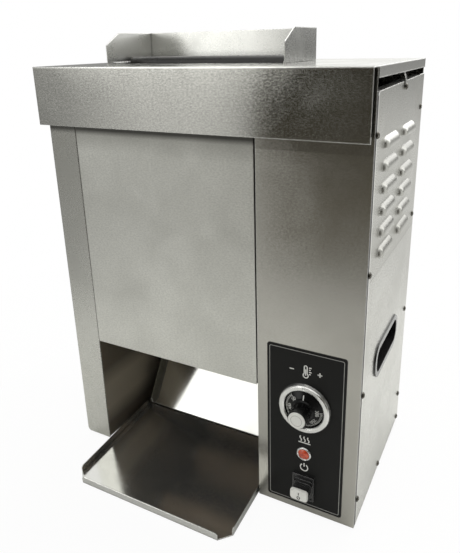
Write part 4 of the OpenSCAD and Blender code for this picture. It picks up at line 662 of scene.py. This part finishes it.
# plain figures as pen strokes in a box 0.6 wide and 1 high
figures = {
    "0": [(0.3, 0.0), (0.08, 0.12), (0.0, 0.5), (0.08, 0.88), (0.3, 1.0), (0.52, 0.88), (0.6, 0.5),
          (0.52, 0.12), (0.3, 0.0)],
    "1": [(0.12, 0.8), (0.36, 1.0), (0.36, 0.0)],
    "2": [(0.02, 0.82), (0.3, 1.0), (0.57, 0.8), (0.5, 0.52), (0.0, 0.0), (0.6, 0.0)],
    "3": [(0.03, 0.9), (0.3, 1.0), (0.55, 0.8), (0.3, 0.54), (0.58, 0.28), (0.3, 0.0), (0.0, 0.12)],
    "5": [(0.55, 1.0), (0.1, 1.0), (0.06, 0.55), (0.35, 0.62), (0.6, 0.34), (0.36, 0.0), (0.0, 0.1)]}
scale_start, scale_step, tick_step, pen = 46.0, 45.0, 5.0, 0.0008
tick_count, ticks_to_figure = 46, 9
tick_outer, short_tick, long_tick = skirt_radius - 0.0008, skirt_radius - 0.0034, skirt_radius - 0.0045
figure_foot, tall, pitch = skirt_radius - 0.0092, 0.0038, 0.0031
# the pointer bends over the cone's upper edge
scale = [([(0, skirt_radius - 0.0108), (0, skirt_radius - cone_width), (0, long_tick)], 0.0014)]
for k in range(tick_count):
    turned = math.radians(90 + scale_start + k * tick_step)
    inner = long_tick if k % ticks_to_figure == 0 else short_tick
    scale.append(([(inner * math.cos(turned), inner * math.sin(turned)),
                   (tick_outer * math.cos(turned), tick_outer * math.sin(turned))], pen))
for k, mark in enumerate(("50", "100", "150", "200", "250", "300")):
    turned = math.radians(90 + scale_start + k * scale_step)
    outward_x, outward_y = math.cos(turned), math.sin(turned)
    for i, digit in enumerate(mark):
        step = (i - (len(mark) - 1) / 2) * pitch - 0.3 * tall
        scale.append(([((figure_foot + v * tall) * outward_x + (step + u * tall) * outward_y,
                        (figure_foot + v * tall) * outward_y - (step + u * tall) * outward_x)
                       for u, v in figures[digit]], pen))
printed("knob_scale", scale, white_ink, "knob",
        Matrix.Translation((axis_x, skirt_edge, dial_z)) @ outward, on_skirt)
# fine printed ring on the cap
printed("cap_ring", [(arc(0, 0, 0.0072, 0, 360, 36), 0.0005)], grey_ink, "knob",
        Matrix.Translation((axis_x, cap_face, dial_z)) @ outward)

# ------------------------------------------------------------------ lamp
# Clear red plastic lens moulded with a facet pattern. It is pressed into a bright turned ring of
# the same finish as the dial's.
lens = bpy.data.materials.new("red_lens")
lens.use_nodes = True
tree = lens.node_tree
shader = tree.nodes["Principled BSDF"]
shader.inputs["Roughness"].default_value = 0.1
shader.inputs["Coat Weight"].default_value = 0.6
spot = add(tree, "TexCoord")
facet = add(tree, "TexVoronoi", {"Vector": spot.outputs["Object"], "Scale": 420.0})
tone = add(tree, "Mix", {"Factor": facet.outputs["Distance"], "A": (0.9, 0.13, 0.04, 1),
                         "B": (0.25, 0.012, 0.005, 1)}, data_type="RGBA")
tree.links.new(tone.outputs["Result"], shader.inputs["Base Color"])
relief = add(tree, "Bump", {"Height": facet.outputs["Distance"], "Strength": 0.7, "Distance": 0.0006})
tree.links.new(relief.outputs["Normal"], shader.inputs["Normal"])
dress(lens, "lamp_lens")

# ------------------------------------------------------------------ switch
# A black push switch snapped into the control front. Its white moulded button carries a bar and a
# ring in black ink for on and off.
button_low, button_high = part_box("button_cap")
button_mid = (axis_x, button_low[1], (button_low[2] + button_high[2]) / 2)
black_ink = print_ink("black_ink", (0.02, 0.02, 0.02))
printed("switch_marks", [([(0, 0.0008), (0, 0.0048)], 0.0013), (arc(0, -0.0033, 0.0019, 0, 360, 20), 0.0012)],
        black_ink, "button", Matrix.Translation(button_mid) @ outward)
